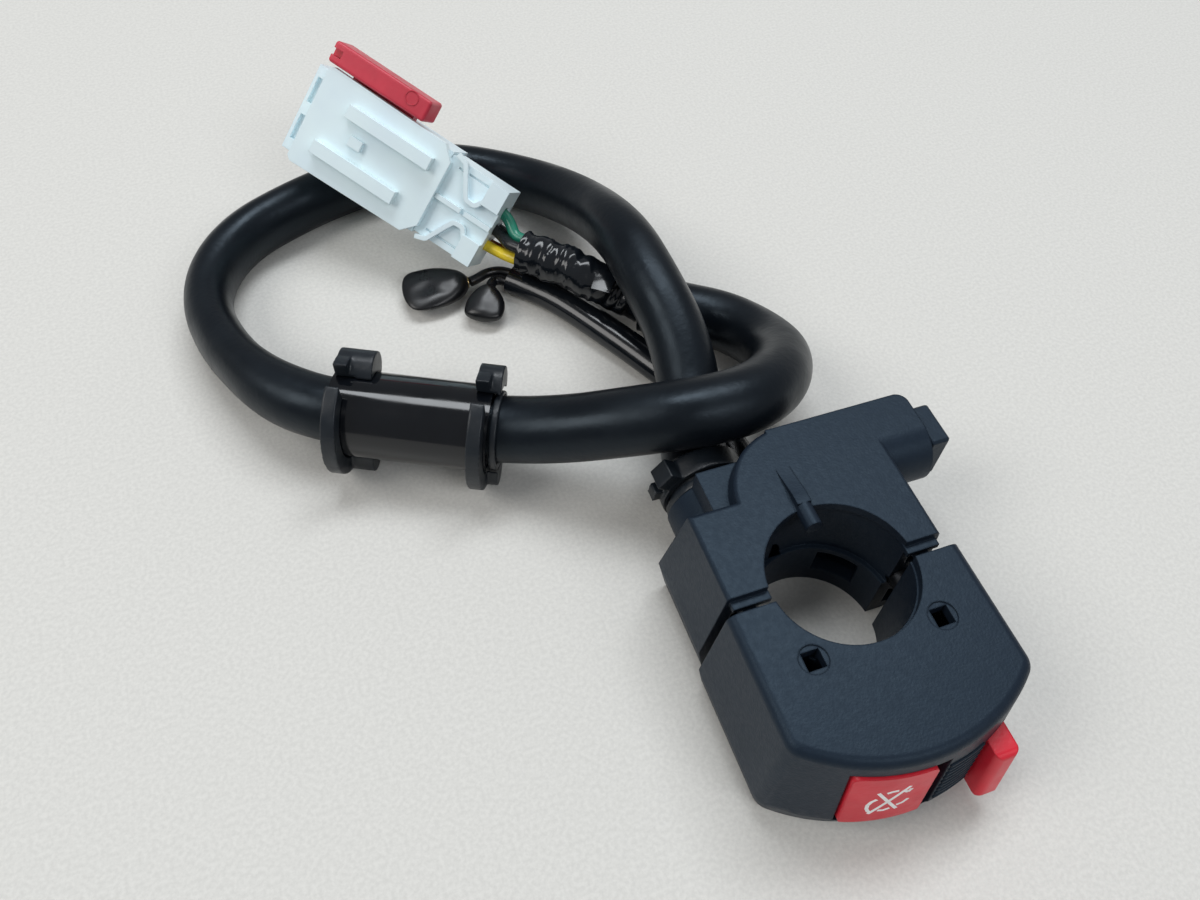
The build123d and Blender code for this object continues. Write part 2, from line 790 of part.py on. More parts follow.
# Moving contact on the rocker's back, and where its buttons come at full travel
contact_z = (arm_low + arm_high) / 2
contact_rows = [contact_z - button_z_step / 2, contact_z + button_z_step / 2]
leaf_back = arm_back + leaf_t
button_back = leaf_back + button_t
with BuildPart() as moving_contact:
    low = (leaf_left, arm_back, contact_rows[0] - 2 * button_r)
    block(low, (leaf_right, leaf_back, contact_rows[1] + 2 * button_r))
    for z in contact_rows:
        rod((button_x, leaf_back, z), (button_x, button_back, z), button_r)
moving_contact.part.label = "moving_contact"
export_step(moving_contact.part, "parts/moving_contact.step")

travel = radians(rocker_travel)
closing_y = hinge_y + (button_x + button_r - hinge_x) * sin(travel)
closing_y += (button_back - hinge_y) * cos(travel) + contact_gap
with BuildPart() as fixed_contacts:
    for z in contact_rows:
        rod((button_x, closing_y, z), (button_x, base_front, z), fixed_button_r)
        rod((button_x, base_front, z), (button_x, post_y, z), rivet_r)
        low = (strip_end, post_y, z - strip_w / 2)
        block(low, (button_x + rivet_r, post_y + strip_t, z + strip_w / 2))
fixed_contacts.part.label = "fixed_contacts"
export_step(fixed_contacts.part, "parts/fixed_contacts.step")

with BuildPart() as contact_base:
    block((-base_half, base_front, base_low), (base_half, post_y, base_high))
    rod((detent_x, detent_boss_y, detent_z), (detent_x, base_front, detent_z), detent_boss_r)
    for x in (-post_x, post_x):
        rod((x, base_front, base_screw_z), (x, post_y, base_screw_z), base_screw_r + pin_fit,
            Mode.SUBTRACT)
        sunk_y = base_front + base_screw_head
        rod((x, base_front, base_screw_z), (x, sunk_y, base_screw_z),
            base_screw_head_r + pin_fit, Mode.SUBTRACT)
    for z in contact_rows:
        rod((button_x, base_front, z), (button_x, post_y, z), rivet_r + pin_fit, Mode.SUBTRACT)
contact_base.part.label = "contact_base"
export_step(contact_base.part, "parts/contact_base.step")

with BuildPart() as base_screws:
    for x in (-post_x, post_x):
        rod((x, base_front, base_screw_z), (x, sunk_y, base_screw_z), base_screw_head_r)
        rod((x, sunk_y, base_screw_z), (x, post_y + base_screw_depth, base_screw_z),
            base_screw_r)
base_screws.part.label = "base_screws"
export_step(base_screws.part, "parts/base_screws.step")

inner_wires = Compound(
    label="switch_wires",
    children=[tube("switch wire", route, inner_wire_r) for route in inner_routes],
)
export_step(inner_wires, "parts/switch_wires.step")

# The harness, and the sleeve and clips on its longest straight run
harness_cord = tube("harness", harness_route, cord_r)
harness_cord.label = "harness_cord"
export_step(harness_cord, "parts/harness_cord.step")

runs = [(Vector(*start), Vector(*end)) for start, end in zip(harness_route, harness_route[1:])]
run_start, run_end = max(runs, key=lambda run: (run[1] - run[0]).length)
run_dir = (run_end - run_start).normalized()
sleeve_mid = (run_start + run_end) / 2
sleeve_in = cord_r + sleeve_fit
sleeve_ends = [sleeve_mid - run_dir * sleeve_length / 2, sleeve_mid + run_dir * sleeve_length / 2]
with BuildPart() as cord_sleeve:
    rod(tuple(sleeve_ends[0]), tuple(sleeve_ends[1]), sleeve_r)
    rod(tuple(sleeve_ends[0]), tuple(sleeve_ends[1]), sleeve_in, Mode.SUBTRACT)
cord_sleeve.part.label = "cord_sleeve"
export_step(cord_sleeve.part, "parts/cord_sleeve.step")


def clip(centre, lug_w):
    """A flange with a gap in its top, a rounded ear behind the gap and a foot below."""
    frame = Plane(origin=centre, z_dir=run_dir)
    gap = ray_frame(centre, tuple(run_dir), clip_gap_angle)
    with BuildPart() as flange:
        with Locations(frame):
            Cylinder(clip_r, clip_t)
        for angle, lug_r in ((ear_angle, ear_r), (foot_angle, foot_r)):
            lug = ray_frame(centre, tuple(run_dir), angle)
            reach = clip_r + lug_out - lug_r
            with Locations(lug * Pos(0, 0, -clip_t / 2)):
                Box(reach, 2 * lug_r, lug_w, align=(Align.MIN, Align.CENTER, Align.MIN))
            with Locations(lug * Pos(reach, 0, -clip_t / 2)):
                Cylinder(lug_r, lug_w, align=(Align.CENTER, Align.CENTER, Align.MIN))
        with Locations(gap):
            Box(2 * clip_r, clip_gap_w, 2 * clip_t, align=(Align.MIN, Align.CENTER,
                Align.CENTER), mode=Mode.SUBTRACT)
        with Locations(frame):
            Cylinder(sleeve_r + seat_gap, 4 * lug_w, mode=Mode.SUBTRACT)
    return flange.part


clip_at = clip_inset + clip_t / 2
for name, centre, lug_w in (
    ("clip_left", sleeve_ends[0] + run_dir * clip_at, left_lug_w),
    ("clip_right", sleeve_ends[1] - run_dir * clip_at, right_lug_w),
):
    flange = clip(centre, lug_w)
    flange.label = name
    export_step(flange, f"parts/{name}.step")

with BuildPart() as cord_ring:
    ring_at = sleeve_ends[1] + run_dir * ring_space
    ring_to = ring_at + run_dir * ring_t
    rod(tuple(ring_at), tuple(ring_to), ring_r)
    rod(tuple(ring_at), tuple(ring_to), sleeve_in, Mode.SUBTRACT)
cord_ring.part.label = "cord_ring"
export_step(cord_ring.part, "parts/cord_ring.step")

tape_wrap = tube("tape wrap", tape_route, tape_r)
tape_wrap.label = "tape_wrap"
export_step(tape_wrap, "parts/tape_wrap.step")

# Plug. Its housing has a ribbed cover plate, a shroud at the mating end, a groove for the
# lock, and a bore for each wire
plug = Plane(origin=plug_centre, x_dir=plug_along, z_dir=plug_up)
cover_end = plug_len / 2
mouth_x = -cover_end - shroud_out
room_end = mouth_x + shroud_depth
body_end = cover_end - body_short
body_y = plug_w / 2 - body_inset
room_y = body_y - shroud_wall
room_low = -plug_h + shroud_wall
room_high = -shroud_drop - shroud_wall
core_z = (room_low + room_high) / 2
tail_end = cover_end + tail_reach
columns = [i - (wire_columns - 1) / 2 for i in range(wire_columns)]
rows = [i - (wire_rows - 1) / 2 for i in range(wire_rows)]
cavities = [(wire_pitch * i, core_z + wire_row_pitch * j) for i in columns for j in rows]
groove_z = core_z + lock_tongue_h / 2
with BuildPart(plug) as connector_housing:
    with BuildSketch(plug.offset(-cover_t)) as cover:
        with BuildLine():
            Polyline(
                (-cover_end, -plug_w / 2),
                (cover_end, -tail_w / 2 - body_inset),
                (cover_end, tail_w / 2 + body_inset),
                (-cover_end, plug_w / 2),
                close=True,
            )
        make_face()
        chamfer(cover.vertices().sort_by(Axis.X)[-2:], cover_corner)
        chamfer(cover.vertices().sort_by(Axis.X)[:2], cover_corner / 3)
    extrude(amount=cover_t)
    block((-cover_end, -body_y, -plug_h), (body_end, body_y, -cover_t))
    block((mouth_x, -body_y, -plug_h), (-cover_end, body_y, -shroud_drop))
    for side in (-1, 1):
        rail_from = rail_x - rail_len / 2 + side * rail_x_step
        low = (rail_from, side * rail_y - rail_w / 2, -cover_t)
        block(low, (rail_from + rail_len, side * rail_y + rail_w / 2, rail_high))
        low = (mouth_x + slot_edge, side * slot_y - slot_w / 2, -shroud_drop - slot_deep)
        block(low, (-cover_end, side * slot_y + slot_w / 2, 0), Mode.SUBTRACT)
    block((nub_x, -nub_w / 2, -cover_t), (nub_x + nub_len, nub_w / 2, nub_high))
    low = (mouth_x - overrun, -room_y, room_low)
    block(low, (room_end, room_y, room_high), Mode.SUBTRACT)
    groove = (lock_tongue_x - seat_gap, body_y - lock_tongue_in - seat_gap,
              groove_z - lock_tongue_h - seat_gap)
    groove_to = (lock_tongue_x + lock_tongue_len + lock_travel + seat_gap, body_y + overrun,
                 groove_z + seat_gap)
    block(groove, groove_to, Mode.SUBTRACT)
    for y, z in cavities:
        rod((mouth_x, y, z), (body_end + overrun, y, z), wire_hole_r, Mode.SUBTRACT)
connector_housing.part.label = "connector_housing"
export_step(connector_housing.part, "parts/connector_housing.step")

# Carrier of the contacts in the shroud
with BuildPart(plug) as terminal_carrier:
    low = (mouth_x + carrier_back, -room_y + 2 * carrier_gap, room_low + carrier_gap)
    block(low, (room_end - seat_gap, room_y - 2 * carrier_gap, room_high - carrier_gap))
    for y, z in cavities:
        rod((mouth_x, y, z), (room_end, y, z), contact_pin_r + pin_fit, Mode.SUBTRACT)
terminal_carrier.part.label = "terminal_carrier"
export_step(terminal_carrier.part, "parts/terminal_carrier.step")

crimp_end = room_end + contact_crimp_len
with BuildPart(plug) as terminals:
    for y, z in cavities:
        pin_from = mouth_x + carrier_back + contact_pin_end
        rod((pin_from, y, z), (room_end, y, z), contact_pin_r)
        rod((room_end, y, z), (crimp_end, y, z), contact_crimp_r)
terminals.part.label = "terminals"
export_step(terminals.part, "parts/terminals.step")

# Rear retainer: two lugs, a split rib and two wavy arms on top
tail_top = -tail_drop
with BuildPart(plug) as connector_retainer:
    low = (body_end + seat_gap, -tail_w / 2, tail_top - tail_h)
    block(low, (tail_end, tail_w / 2, tail_top))
    gap_x = cover_end + tail_rib_gap_share * tail_reach
    rib_from = cover_end + seat_gap
    rib_to = gap_x - tail_rib_gap / 2
    block((rib_from, -tail_rib_w / 2, tail_top), (rib_to, tail_rib_w / 2, tail_top + tail_rib_h))
    rib_from = gap_x + tail_rib_gap / 2
    block((rib_from, -tail_rib_w / 2, tail_top), (tail_end, tail_rib_w / 2, tail_top + tail_rib_h))
    for side in (-1, 1):
        y = side * (tail_w - end_lug_w) / 2
        low = (tail_end - end_lug_len, y - end_lug_w / 2, tail_top)
        block(low, (tail_end, y + end_lug_w / 2, tail_top + end_lug_h))
        y = side * (tail_w / 2 - tail_slit_in)
        low = (cover_end + tail_slit_in, y - tail_slit / 2, tail_top - tail_slit)
        block(low, (tail_end - end_lug_len, y + tail_slit / 2, tail_top), Mode.SUBTRACT)
        with BuildSketch(plug.offset(tail_top)):
            with BuildLine():
                FilletPolyline(
                    *[
                        (cover_end + a * tail_reach, side * b * tail_w / 2)
                        for a, b in arm_shares
                    ],
                    radius=arm_bend_share * tail_w,
                )
            trace(line_width=arm_w)
        extrude(amount=arm_h)
    for y, z in cavities:
        rod((cover_end - overrun, y, z), (tail_end + overrun, y, z), wire_hole_r, Mode.SUBTRACT)
connector_retainer.part.label = "connector_retainer"
export_step(connector_retainer.part, "parts/connector_retainer.step")

# Lock: a bar beside the housing that slides along it on its tongue
lock_in = plug_w / 2 + plate_gap
with BuildPart(plug) as connector_lock:
    low = (lock_x, lock_in, lock_rise - lock_h)
    block(low, (lock_x + lock_len, lock_in + lock_w, lock_rise))
    fillet(connector_lock.edges(), lock_edge)
    low = (lock_tongue_x, body_y - lock_tongue_in, groove_z - lock_tongue_h)
    block(low, (lock_tongue_x + lock_tongue_len, lock_in + lock_w / 2, groove_z))
    low = (lock_x - overrun, lock_in + lock_w / 2 - lock_notch / 2, lock_rise - lock_notch)
    high = (lock_x + lock_notch_len, lock_in + lock_w / 2 + lock_notch / 2, lock_rise + overrun)
    block(low, high, Mode.SUBTRACT)
connector_lock.part.label = "connector_lock"
export_step(connector_lock.part, "parts/connector_lock.step")

# Wires from the plug into the tape's end
tape_tip = Vector(*tape_route[-1])
tape_dir = (tape_tip - Vector(*tape_route[-2])).normalized()
tape_face = Plane(origin=tape_tip, x_dir=plug.y_dir, z_dir=tape_dir)
for colour, wires in wire_cavities.items():
    solids = []
    for (column, row), (u, v) in wires:
        y, z = column * wire_pitch, core_z + row * wire_row_pitch
        route = [
            plug.from_local_coords((crimp_end + seat_gap, y, z)),
            plug.from_local_coords((tail_end + plug_wire_out, y, z)),
            tape_face.from_local_coords((u, v, plug_wire_in)),
            tape_face.from_local_coords((u, v, seat_gap)),
        ]
        solids.append(tube(f"{colour} wire", [tuple(point) for point in route], plug_wire_r))
    wire = Compound(label=f"wire_{colour}", children=solids)
    export_step(wire, f"parts/wire_{colour}.step")

# Lead to the brake light switch, its two tails, and a boot with a terminal on each
brake_lead = tube("brake lead", lead_route, lead_r)
brake_lead.label = "brake_lead"
export_step(brake_lead, "parts/brake_lead.step")

tails = [tube("lead tail", route, tail_wire_r) for route in tail_routes]
lead_tails = Compound(label="lead_tails", children=tails)
export_step(lead_tails, "parts/lead_tails.step")


def boot_frame(route, heading):
    """Plane at a boot's wire end, level, with its x axis along the boot."""
    x_dir = (cos(radians(heading)), sin(radians(heading)), 0)
    start = Vector(*route[-1]) + Vector(*x_dir) * boot_gap
    return Plane(origin=start, x_dir=x_dir, z_dir=(0, 0, 1))


def boot(frame, length, width):
    """A leaf-shaped boot with a round entry and a flat mouth."""
    side = [(a * length, b * width) for a, b in boot_shares]
    with BuildPart(frame) as body:
        with BuildSketch(frame.offset(-boot_h / 2)) as leaf:
            with BuildLine():
                Polyline(*side, *[(x, -y) for x, y in reversed(side)], close=True)
            make_face()
            fillet(leaf.vertices(), boot_round)
        extrude(amount=boot_h)
        fillet(body.faces().sort_by(Axis.Z)[-1].edges(), boot_round)
        fillet(body.faces().sort_by(Axis.Z)[0].edges(), boot_round)
        barrel_end = spade_barrel_len + seat_gap
        rod((0, 0, 0), (barrel_end, 0, 0), spade_barrel_r + seat_gap, Mode.SUBTRACT)
        low = (spade_barrel_len / 2, -spade_w / 2 - seat_gap, -spade_t / 2 - seat_gap)
        high = (length, spade_w / 2 + seat_gap, spade_t / 2 + seat_gap)
        block(low, high, Mode.SUBTRACT)
    return body.part


def spade(frame):
    """A flat blade with a round barrel for the wire."""
    with BuildPart(frame) as body:
        rod((seat_gap, 0, 0), (spade_barrel_len, 0, 0), spade_barrel_r)
        blade_end = spade_barrel_len + spade_len - seat_gap
        low = (spade_barrel_len * 3 / 4, -spade_w / 2, -spade_t / 2)
        block(low, (blade_end, spade_w / 2, spade_t / 2))
    return body.part


frames = [boot_frame(route, boot_at[2]) for route, boot_at in zip(tail_routes, boots)]
skins = [boot(frame, length, width) for frame, (length, width, _) in zip(frames, boots)]
for name, skin in zip(("boot_long", "boot_short"), skins):
    skin.label = name
    export_step(skin, f"parts/{name}.step")
lead_spades = Compound(label="lead_spades", children=[spade(frame) for frame in frames])
export_step(lead_spades, "parts/lead_spades.step")
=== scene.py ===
"""Dresses the handlebar switch cluster: harness, lead, plug, housings and rocker."""

import json
from math import cos, pi, radians, sin, sqrt

import bmesh
import bpy
from mathutils import Matrix, Vector, noise

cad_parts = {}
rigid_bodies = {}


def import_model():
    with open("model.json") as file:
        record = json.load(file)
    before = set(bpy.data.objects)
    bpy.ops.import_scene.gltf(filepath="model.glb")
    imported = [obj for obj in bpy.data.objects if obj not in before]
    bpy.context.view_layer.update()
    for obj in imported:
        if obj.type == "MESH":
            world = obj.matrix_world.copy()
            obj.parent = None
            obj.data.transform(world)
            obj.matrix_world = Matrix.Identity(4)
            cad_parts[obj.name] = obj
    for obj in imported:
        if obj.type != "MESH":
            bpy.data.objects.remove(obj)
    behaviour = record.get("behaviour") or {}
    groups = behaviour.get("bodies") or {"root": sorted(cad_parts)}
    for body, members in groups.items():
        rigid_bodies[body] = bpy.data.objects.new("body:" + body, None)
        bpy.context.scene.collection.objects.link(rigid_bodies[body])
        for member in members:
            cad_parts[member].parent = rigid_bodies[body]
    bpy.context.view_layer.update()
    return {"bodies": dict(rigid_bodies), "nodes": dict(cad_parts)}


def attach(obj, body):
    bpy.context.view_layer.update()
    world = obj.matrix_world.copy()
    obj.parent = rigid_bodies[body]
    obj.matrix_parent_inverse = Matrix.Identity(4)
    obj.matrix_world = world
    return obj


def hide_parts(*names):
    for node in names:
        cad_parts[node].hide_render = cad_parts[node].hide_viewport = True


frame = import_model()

MM = 0.001
scene = bpy.context.scene
scene.view_settings.view_transform = "Standard"


def mm(*values):
    """A point given in millimetres, as a vector in metres."""
    return Vector(values) * MM


# Camera: over the switch half and to its left; its place is in millimetres
CAMERA_AT = (-61.36, -50.27, 149.54)
CAMERA_RIGHT = (0.939, -0.341, 0.043)
CAMERA_UP = (0.257, 0.779, 0.572)
CAMERA_LENS = 30.0
CAMERA_SENSOR = 36.0
CAMERA_NEAR = 4.0

right = Vector(CAMERA_RIGHT).normalized()
back = right.cross(Vector(CAMERA_UP)).normalized()
upward = back.cross(right)
camera_data = bpy.data.cameras.new("camera")
camera_data.lens = CAMERA_LENS
camera_data.sensor_width = CAMERA_SENSOR
camera_data.clip_start = CAMERA_NEAR * MM
camera = bpy.data.objects.new("camera", camera_data)
turn = Matrix((right, upward, back)).transposed().to_4x4()
camera.matrix_world = Matrix.Translation(mm(*CAMERA_AT)) @ turn
scene.collection.objects.link(camera)
scene.camera = camera


# Materials
NOISE_LOW, NOISE_HIGH = 0.35, 0.65  # most of a noise's values lie between these
GLOSSIEST, DULLEST = 0.02, 1.0
EDGE_SAMPLES = 4
MIX_FIRST, MIX_SECOND, MIX_COLOUR = 6, 7, 2  # the colour sockets of a mix node


def fill(node, **values):
    """Sets a node's inputs by their names, with _ for a space."""
    for socket, value in values.items():
        node.inputs[socket.replace("_", " ")].default_value = value
    return node


class Finish:
    """A material whose colour, roughness and relief come from noise."""

    def __init__(self, name, colour, rough, **settings):
        self.material = bpy.data.materials.new(name)
        self.material.use_nodes = True
        self.tree = self.material.node_tree
        self.shader = fill(self.tree.nodes["Principled BSDF"], **settings)
        fill(self.shader, Base_Color=(*colour, 1), Roughness=rough)
        self.colour = colour
        self.rough = rough
        self.place = self.tree.nodes.new("ShaderNodeTexCoord").outputs["Object"]
        self.height = None

    def link(self, source, target):
        self.tree.links.new(source, target)

    def noise(self, scale, detail, stretch):
        """Noise over the piece; scale is in patches per metre."""
        node = fill(self.tree.nodes.new("ShaderNodeTexNoise"), Scale=scale, Detail=detail)
        place = self.place
        if stretch:
            mapping = fill(self.tree.nodes.new("ShaderNodeMapping"), Scale=stretch)
            self.link(place, mapping.inputs["Vector"])
            place = mapping.outputs["Vector"]
        self.link(place, node.inputs["Vector"])
        return node.outputs["Fac"]

    def spread(self, source, low, high):
        """Brings a noise to the range from low to high."""
        node = self.tree.nodes.new("ShaderNodeMapRange")
        fill(node, From_Min=NOISE_LOW, From_Max=NOISE_HIGH, To_Min=low, To_Max=high)
        self.link(source, node.inputs["Value"])
        return node.outputs["Result"]

    def mottle(self, scale, amount, detail=3.0, stretch=None):
        """Lightens and darkens the colour in soft patches."""
        blend = self.tree.nodes.new("ShaderNodeMix")
        blend.data_type = "RGBA"
        for socket, share in ((MIX_FIRST, 1 - amount), (MIX_SECOND, 1 + amount)):
            tone = [min(1.0, c * share) for c in self.colour]
            blend.inputs[socket].default_value = (*tone, 1)
        self.link(self.spread(self.noise(scale, detail, stretch), 0, 1), blend.inputs[0])
        self.link(blend.outputs[MIX_COLOUR], self.shader.inputs["Base Color"])
        return self

    def wear(self, scale, amount, detail=4.0, stretch=None):
        """Varies the roughness in patches."""
        low, high = max(GLOSSIEST, self.rough - amount), min(DULLEST, self.rough + amount)
        source = self.spread(self.noise(scale, detail, stretch), low, high)
        self.link(source, self.shader.inputs["Roughness"])
        return self

    def edges(self, radius):
        """Rounds the look of sharp edges; radius is in metres."""
        node = fill(self.tree.nodes.new("ShaderNodeBevel"), Radius=radius)
        node.samples = EDGE_SAMPLES
        self.height = node.outputs["Normal"]
        self.link(self.height, self.shader.inputs["Normal"])
        return self

    def grain(self, scale, depth, detail=2.0, stretch=None):
        """Adds a fine relief over the last one; depth is in metres."""
        bump = fill(self.tree.nodes.new("ShaderNodeBump"), Strength=1.0, Distance=depth)
        self.link(self.noise(scale, detail, stretch), bump.inputs["Height"])
        if self.height:
            self.link(self.height, bump.inputs["Normal"])
        self.height = bump.outputs["Normal"]
        self.link(self.height, self.shader.inputs["Normal"])
        return self


# Black plastic. Its blue cast and blue specular tint are a painted bluish sky reflection, set
# so that the lit tops read blue-grey.
housing_black = Finish(
    "housing_black",
    (0.01, 0.016, 0.027),
    0.44,
    Specular_IOR_Level=0.26,
    Specular_Tint=(0.6, 0.82, 1.0, 1.0),
)
housing_black.edges(0.00035).mottle(900, 0.05).wear(1100, 0.03)
housing_black.grain(2600, 0.00003).grain(420, 0.000012)
rocker_red = Finish("rocker_red", (0.7, 0.022, 0.042), 0.34, Specular_IOR_Level=0.32)
rocker_red.edges(0.0004)
rocker_red.mottle(120, 0.08).wear(300, 0.06).grain(1800, 0.00002)
print_white = Finish("print_white", (0.94, 0.94, 0.93), 0.5).mottle(900, 0.06)
# Black sheath. Its blue cast and blue specular tint are a painted bluish reflection in its
# highlights.
cord_sheath_blue_sheen = Finish(
    "cord_sheath_blue_sheen",
    (0.004, 0.0055, 0.008),
    0.36,
    Specular_IOR_Level=0.3,
    Specular_Tint=(0.7, 0.86, 1.0, 1.0),
)
cord_sheath_blue_sheen.mottle(70, 0.18).wear(110, 0.08).grain(900, 0.00004).grain(90, 0.00008)
sleeve_black = Finish("sleeve_black", (0.003, 0.004, 0.006), 0.12, Specular_IOR_Level=0.5)
sleeve_black.mottle(120, 0.15).wear(200, 0.04).grain(90, 0.00003)
clip_black = Finish("clip_black", (0.01, 0.014, 0.019), 0.36, Specular_IOR_Level=0.4)
clip_black.mottle(200, 0.12).wear(300, 0.08).grain(1600, 0.00003)
tape_black = Finish("tape_black", (0.006, 0.008, 0.011), 0.14)
tape_black.mottle(150, 0.15).wear(400, 0.05).grain(260, 0.00005)
lead_black = Finish("lead_black", (0.007, 0.009, 0.012), 0.15)
lead_black.mottle(120, 0.15).wear(260, 0.05).grain(140, 0.00006)
boot_rubber = Finish("boot_rubber", (0.004, 0.0045, 0.006), 0.33)
boot_rubber.mottle(180, 0.15).wear(240, 0.06).grain(170, 0.00005)
plug_pale = Finish("plug_pale", (0.8, 0.94, 1.0), 0.36).edges(0.00018)
plug_pale.mottle(90, 0.03).wear(220, 0.06).grain(900, 0.00001)
lock_red = Finish("lock_red", (0.6, 0.035, 0.065), 0.38).edges(0.00025)
lock_red.mottle(140, 0.08).wear(300, 0.06).grain(1400, 0.00002)
wire_yellow = Finish("wire_yellow", (0.82, 0.62, 0.03), 0.3)
wire_yellow.mottle(300, 0.08).wear(500, 0.06)
wire_green = Finish("wire_green", (0.015, 0.2, 0.13), 0.3).mottle(300, 0.1).wear(500, 0.06)
wire_black = Finish("wire_black", (0.007, 0.008, 0.01), 0.3).mottle(300, 0.12).wear(500, 0.06)
wire_brown = Finish("wire_brown", (0.42, 0.1, 0.02), 0.32).mottle(300, 0.1).wear(500, 0.06)
steel = Finish("steel", (0.3, 0.3, 0.31), 0.36, Metallic=1.0)
steel.mottle(300, 0.08).wear(700, 0.1, stretch=(1, 1, 6))
dark_steel = Finish("dark_steel", (0.03, 0.032, 0.036), 0.5, Metallic=1.0)
dark_steel.mottle(300, 0.1).wear(700, 0.1)
brass = Finish("brass", (0.72, 0.52, 0.24), 0.28, Metallic=1.0)
brass.mottle(400, 0.1).wear(700, 0.1)
base_brown = Finish("base_brown", (0.09, 0.06, 0.035), 0.5)
base_brown.mottle(200, 0.12).grain(1500, 0.00002)


# Mesh helpers
MERGE = 0.002  # millimetres
TUBE_SHARP = 50  # degrees; an edge that turns further than this stays sharp
ROUND_SHARP = 60
RUBBER_SHARP = 80
SAME_FLAT = cos(radians(0.6))  # faces that turn less than this are one flat face
SAME_ROUND = cos(radians(32))  # and less than this, one round surface
RELAX = 0.5  # how far one round of smoothing moves a vertex


def add_mesh(name, mesh, finish, body="housing"):
    piece = bpy.data.objects.new(name, mesh)
    scene.collection.objects.link(piece)
    mesh.materials.clear()
    mesh.materials.append(finish.material)
    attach(piece, body)
    return piece


def smooth_all(mesh):
    mesh.polygons.foreach_set("use_smooth", [True] * len(mesh.polygons))


def smooth_faces(mesh, angle):
    smooth_all(mesh)
    mesh.set_sharp_from_angle(angle=radians(angle))


def join_rows(form, rows, around=True):
    """Faces between rows of vertices that follow one another."""
    for row, following in zip(rows, rows[1:]):
        for i in range(len(row) if around else len(row) - 1):
            j = (i + 1) % len(row)
            form.faces.new((row[i], row[j], following[j], following[i]))


def cap_ends(form, rows):
    form.faces.new(list(reversed(rows[0])))
    form.faces.new(rows[-1])


def mesh_of(form, name):
    """The form as a mesh, with its faces turned outwards."""
    bmesh.ops.recalc_face_normals(form, faces=form.faces)
    mesh = bpy.data.meshes.new(name)
    form.to_mesh(mesh)
    form.free()
    return mesh


def evaluated_mesh(piece):
    graph = bpy.context.evaluated_depsgraph_get()
    return bpy.data.meshes.new_from_object(piece.evaluated_get(graph))


def applied(piece):
    """Turns the piece's modifiers into its mesh."""
    mesh = evaluated_mesh(piece)
    old = piece.data
    piece.modifiers.clear()
    piece.data = mesh
    bpy.data.meshes.remove(old)


def node_copy(node):
    """The node's own mesh with its loose triangles joined."""
    mesh = bpy.data.meshes.new_from_object(frame["nodes"][node])
    form = bmesh.new()
    form.from_mesh(mesh)
    bmesh.ops.remove_doubles(form, verts=form.verts, dist=MERGE * MM)
    form.to_mesh(mesh)
    form.free()
    return mesh


def body_of(node):
    for name, empty in frame["bodies"].items():
        if frame["nodes"][node].parent == empty:
            return name
    return "housing"


def flat_areas(form):
    """For each face, the area of the flat region that it is part of."""
    areas = [0.0] * len(form.faces)
    seen = [False] * len(form.faces)
    for face in form.faces:
        if seen[face.index]:
            continue
        seen[face.index] = True
        region = [face]
        for here in region:
            for edge in here.edges:
                for other in edge.link_faces:
                    if not seen[other.index] and here.normal.dot(other.normal) > SAME_FLAT:
                        seen[other.index] = True
                        region.append(other)
        area = sum(one.calc_area() for one in region)
        for one in region:
            areas[one.index] = area
    return areas


def fan_round(face, vertex):
    """The faces at a vertex that are reached from this one over soft edges."""
    fan = [face]
    for here in fan:
        for edge in vertex.link_edges:
            if here in edge.link_faces:
                for other in edge.link_faces:
                    if other not in fan and here.normal.dot(other.normal) > SAME_ROUND:
                        fan.append(other)
    return fan


def even_normals(mesh):
    """Shades flat faces flat and lets only the round ones between them turn."""
    form = bmesh.new()
    form.from_mesh(mesh)
    form.faces.ensure_lookup_table()
    areas = flat_areas(form)
    normals = []
    for face in form.faces:
        for loop in face.loops:
            push = Vector((0, 0, 0))
            for one in fan_round(face, loop.vert):
                push += one.normal * areas[one.index]
            normals.append(push.normalized())
    form.free()
    smooth_all(mesh)
    mesh.normals_split_custom_set(normals)


def crisp(node, finish):
    """A copy of a moulded node, shaded evenly over its flat and its round faces."""
    piece = add_mesh(f"{node}_skin", node_copy(node), finish, body_of(node))
    even_normals(piece.data)
    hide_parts(node)


def soft(node, finish, voxel, rounds):
    """A rubbery copy of a node: remeshed and relaxed."""
    piece = add_mesh(f"{node}_skin", node_copy(node), finish, body_of(node))
    cells = piece.modifiers.new("cells", "REMESH")
    cells.mode = "VOXEL"
    cells.voxel_size = voxel * MM
    relax = piece.modifiers.new("relax", "SMOOTH")
    relax.factor = RELAX
    relax.iterations = rounds
    applied(piece)
    smooth_faces(piece.data, RUBBER_SHARP)
    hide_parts(node)


# Cord helpers
CURVE_STEPS = 14
CURVE_ROUNDING = 7


def route_curve(name, route, radius):
    """A round cord along the route; both are given in millimetres."""
    data = bpy.data.curves.new(name, "CURVE")
    data.dimensions = "3D"
    spline = data.splines.new("NURBS")
    spline.points.add(len(route) - 1)
    for point, place in zip(spline.points, route):
        point.co = (*mm(*place), 1)
    spline.order_u = 3
    spline.use_endpoint_u = True
    data.resolution_u = CURVE_STEPS
    data.bevel_depth = radius * MM
    data.bevel_resolution = CURVE_ROUNDING
    data.use_fill_caps = radius > 0
    cord = bpy.data.objects.new(name, data)
    scene.collection.objects.link(cord)
    return cord


def route_line(route):
    """Points along the route's spline, in metres."""
    guide = route_curve("guide", route, 0)
    mesh = evaluated_mesh(guide)
    points = [vertex.co.copy() for vertex in mesh.vertices]
    bpy.data.meshes.remove(mesh)
    data = guide.data
    bpy.data.objects.remove(guide)
    bpy.data.curves.remove(data)
    return points


def distances(points):
    """How far along the line each of its points lies."""
    lengths = [0.0]
    for a, b in zip(points, points[1:]):
        lengths.append(lengths[-1] + (b - a).length)
    return lengths


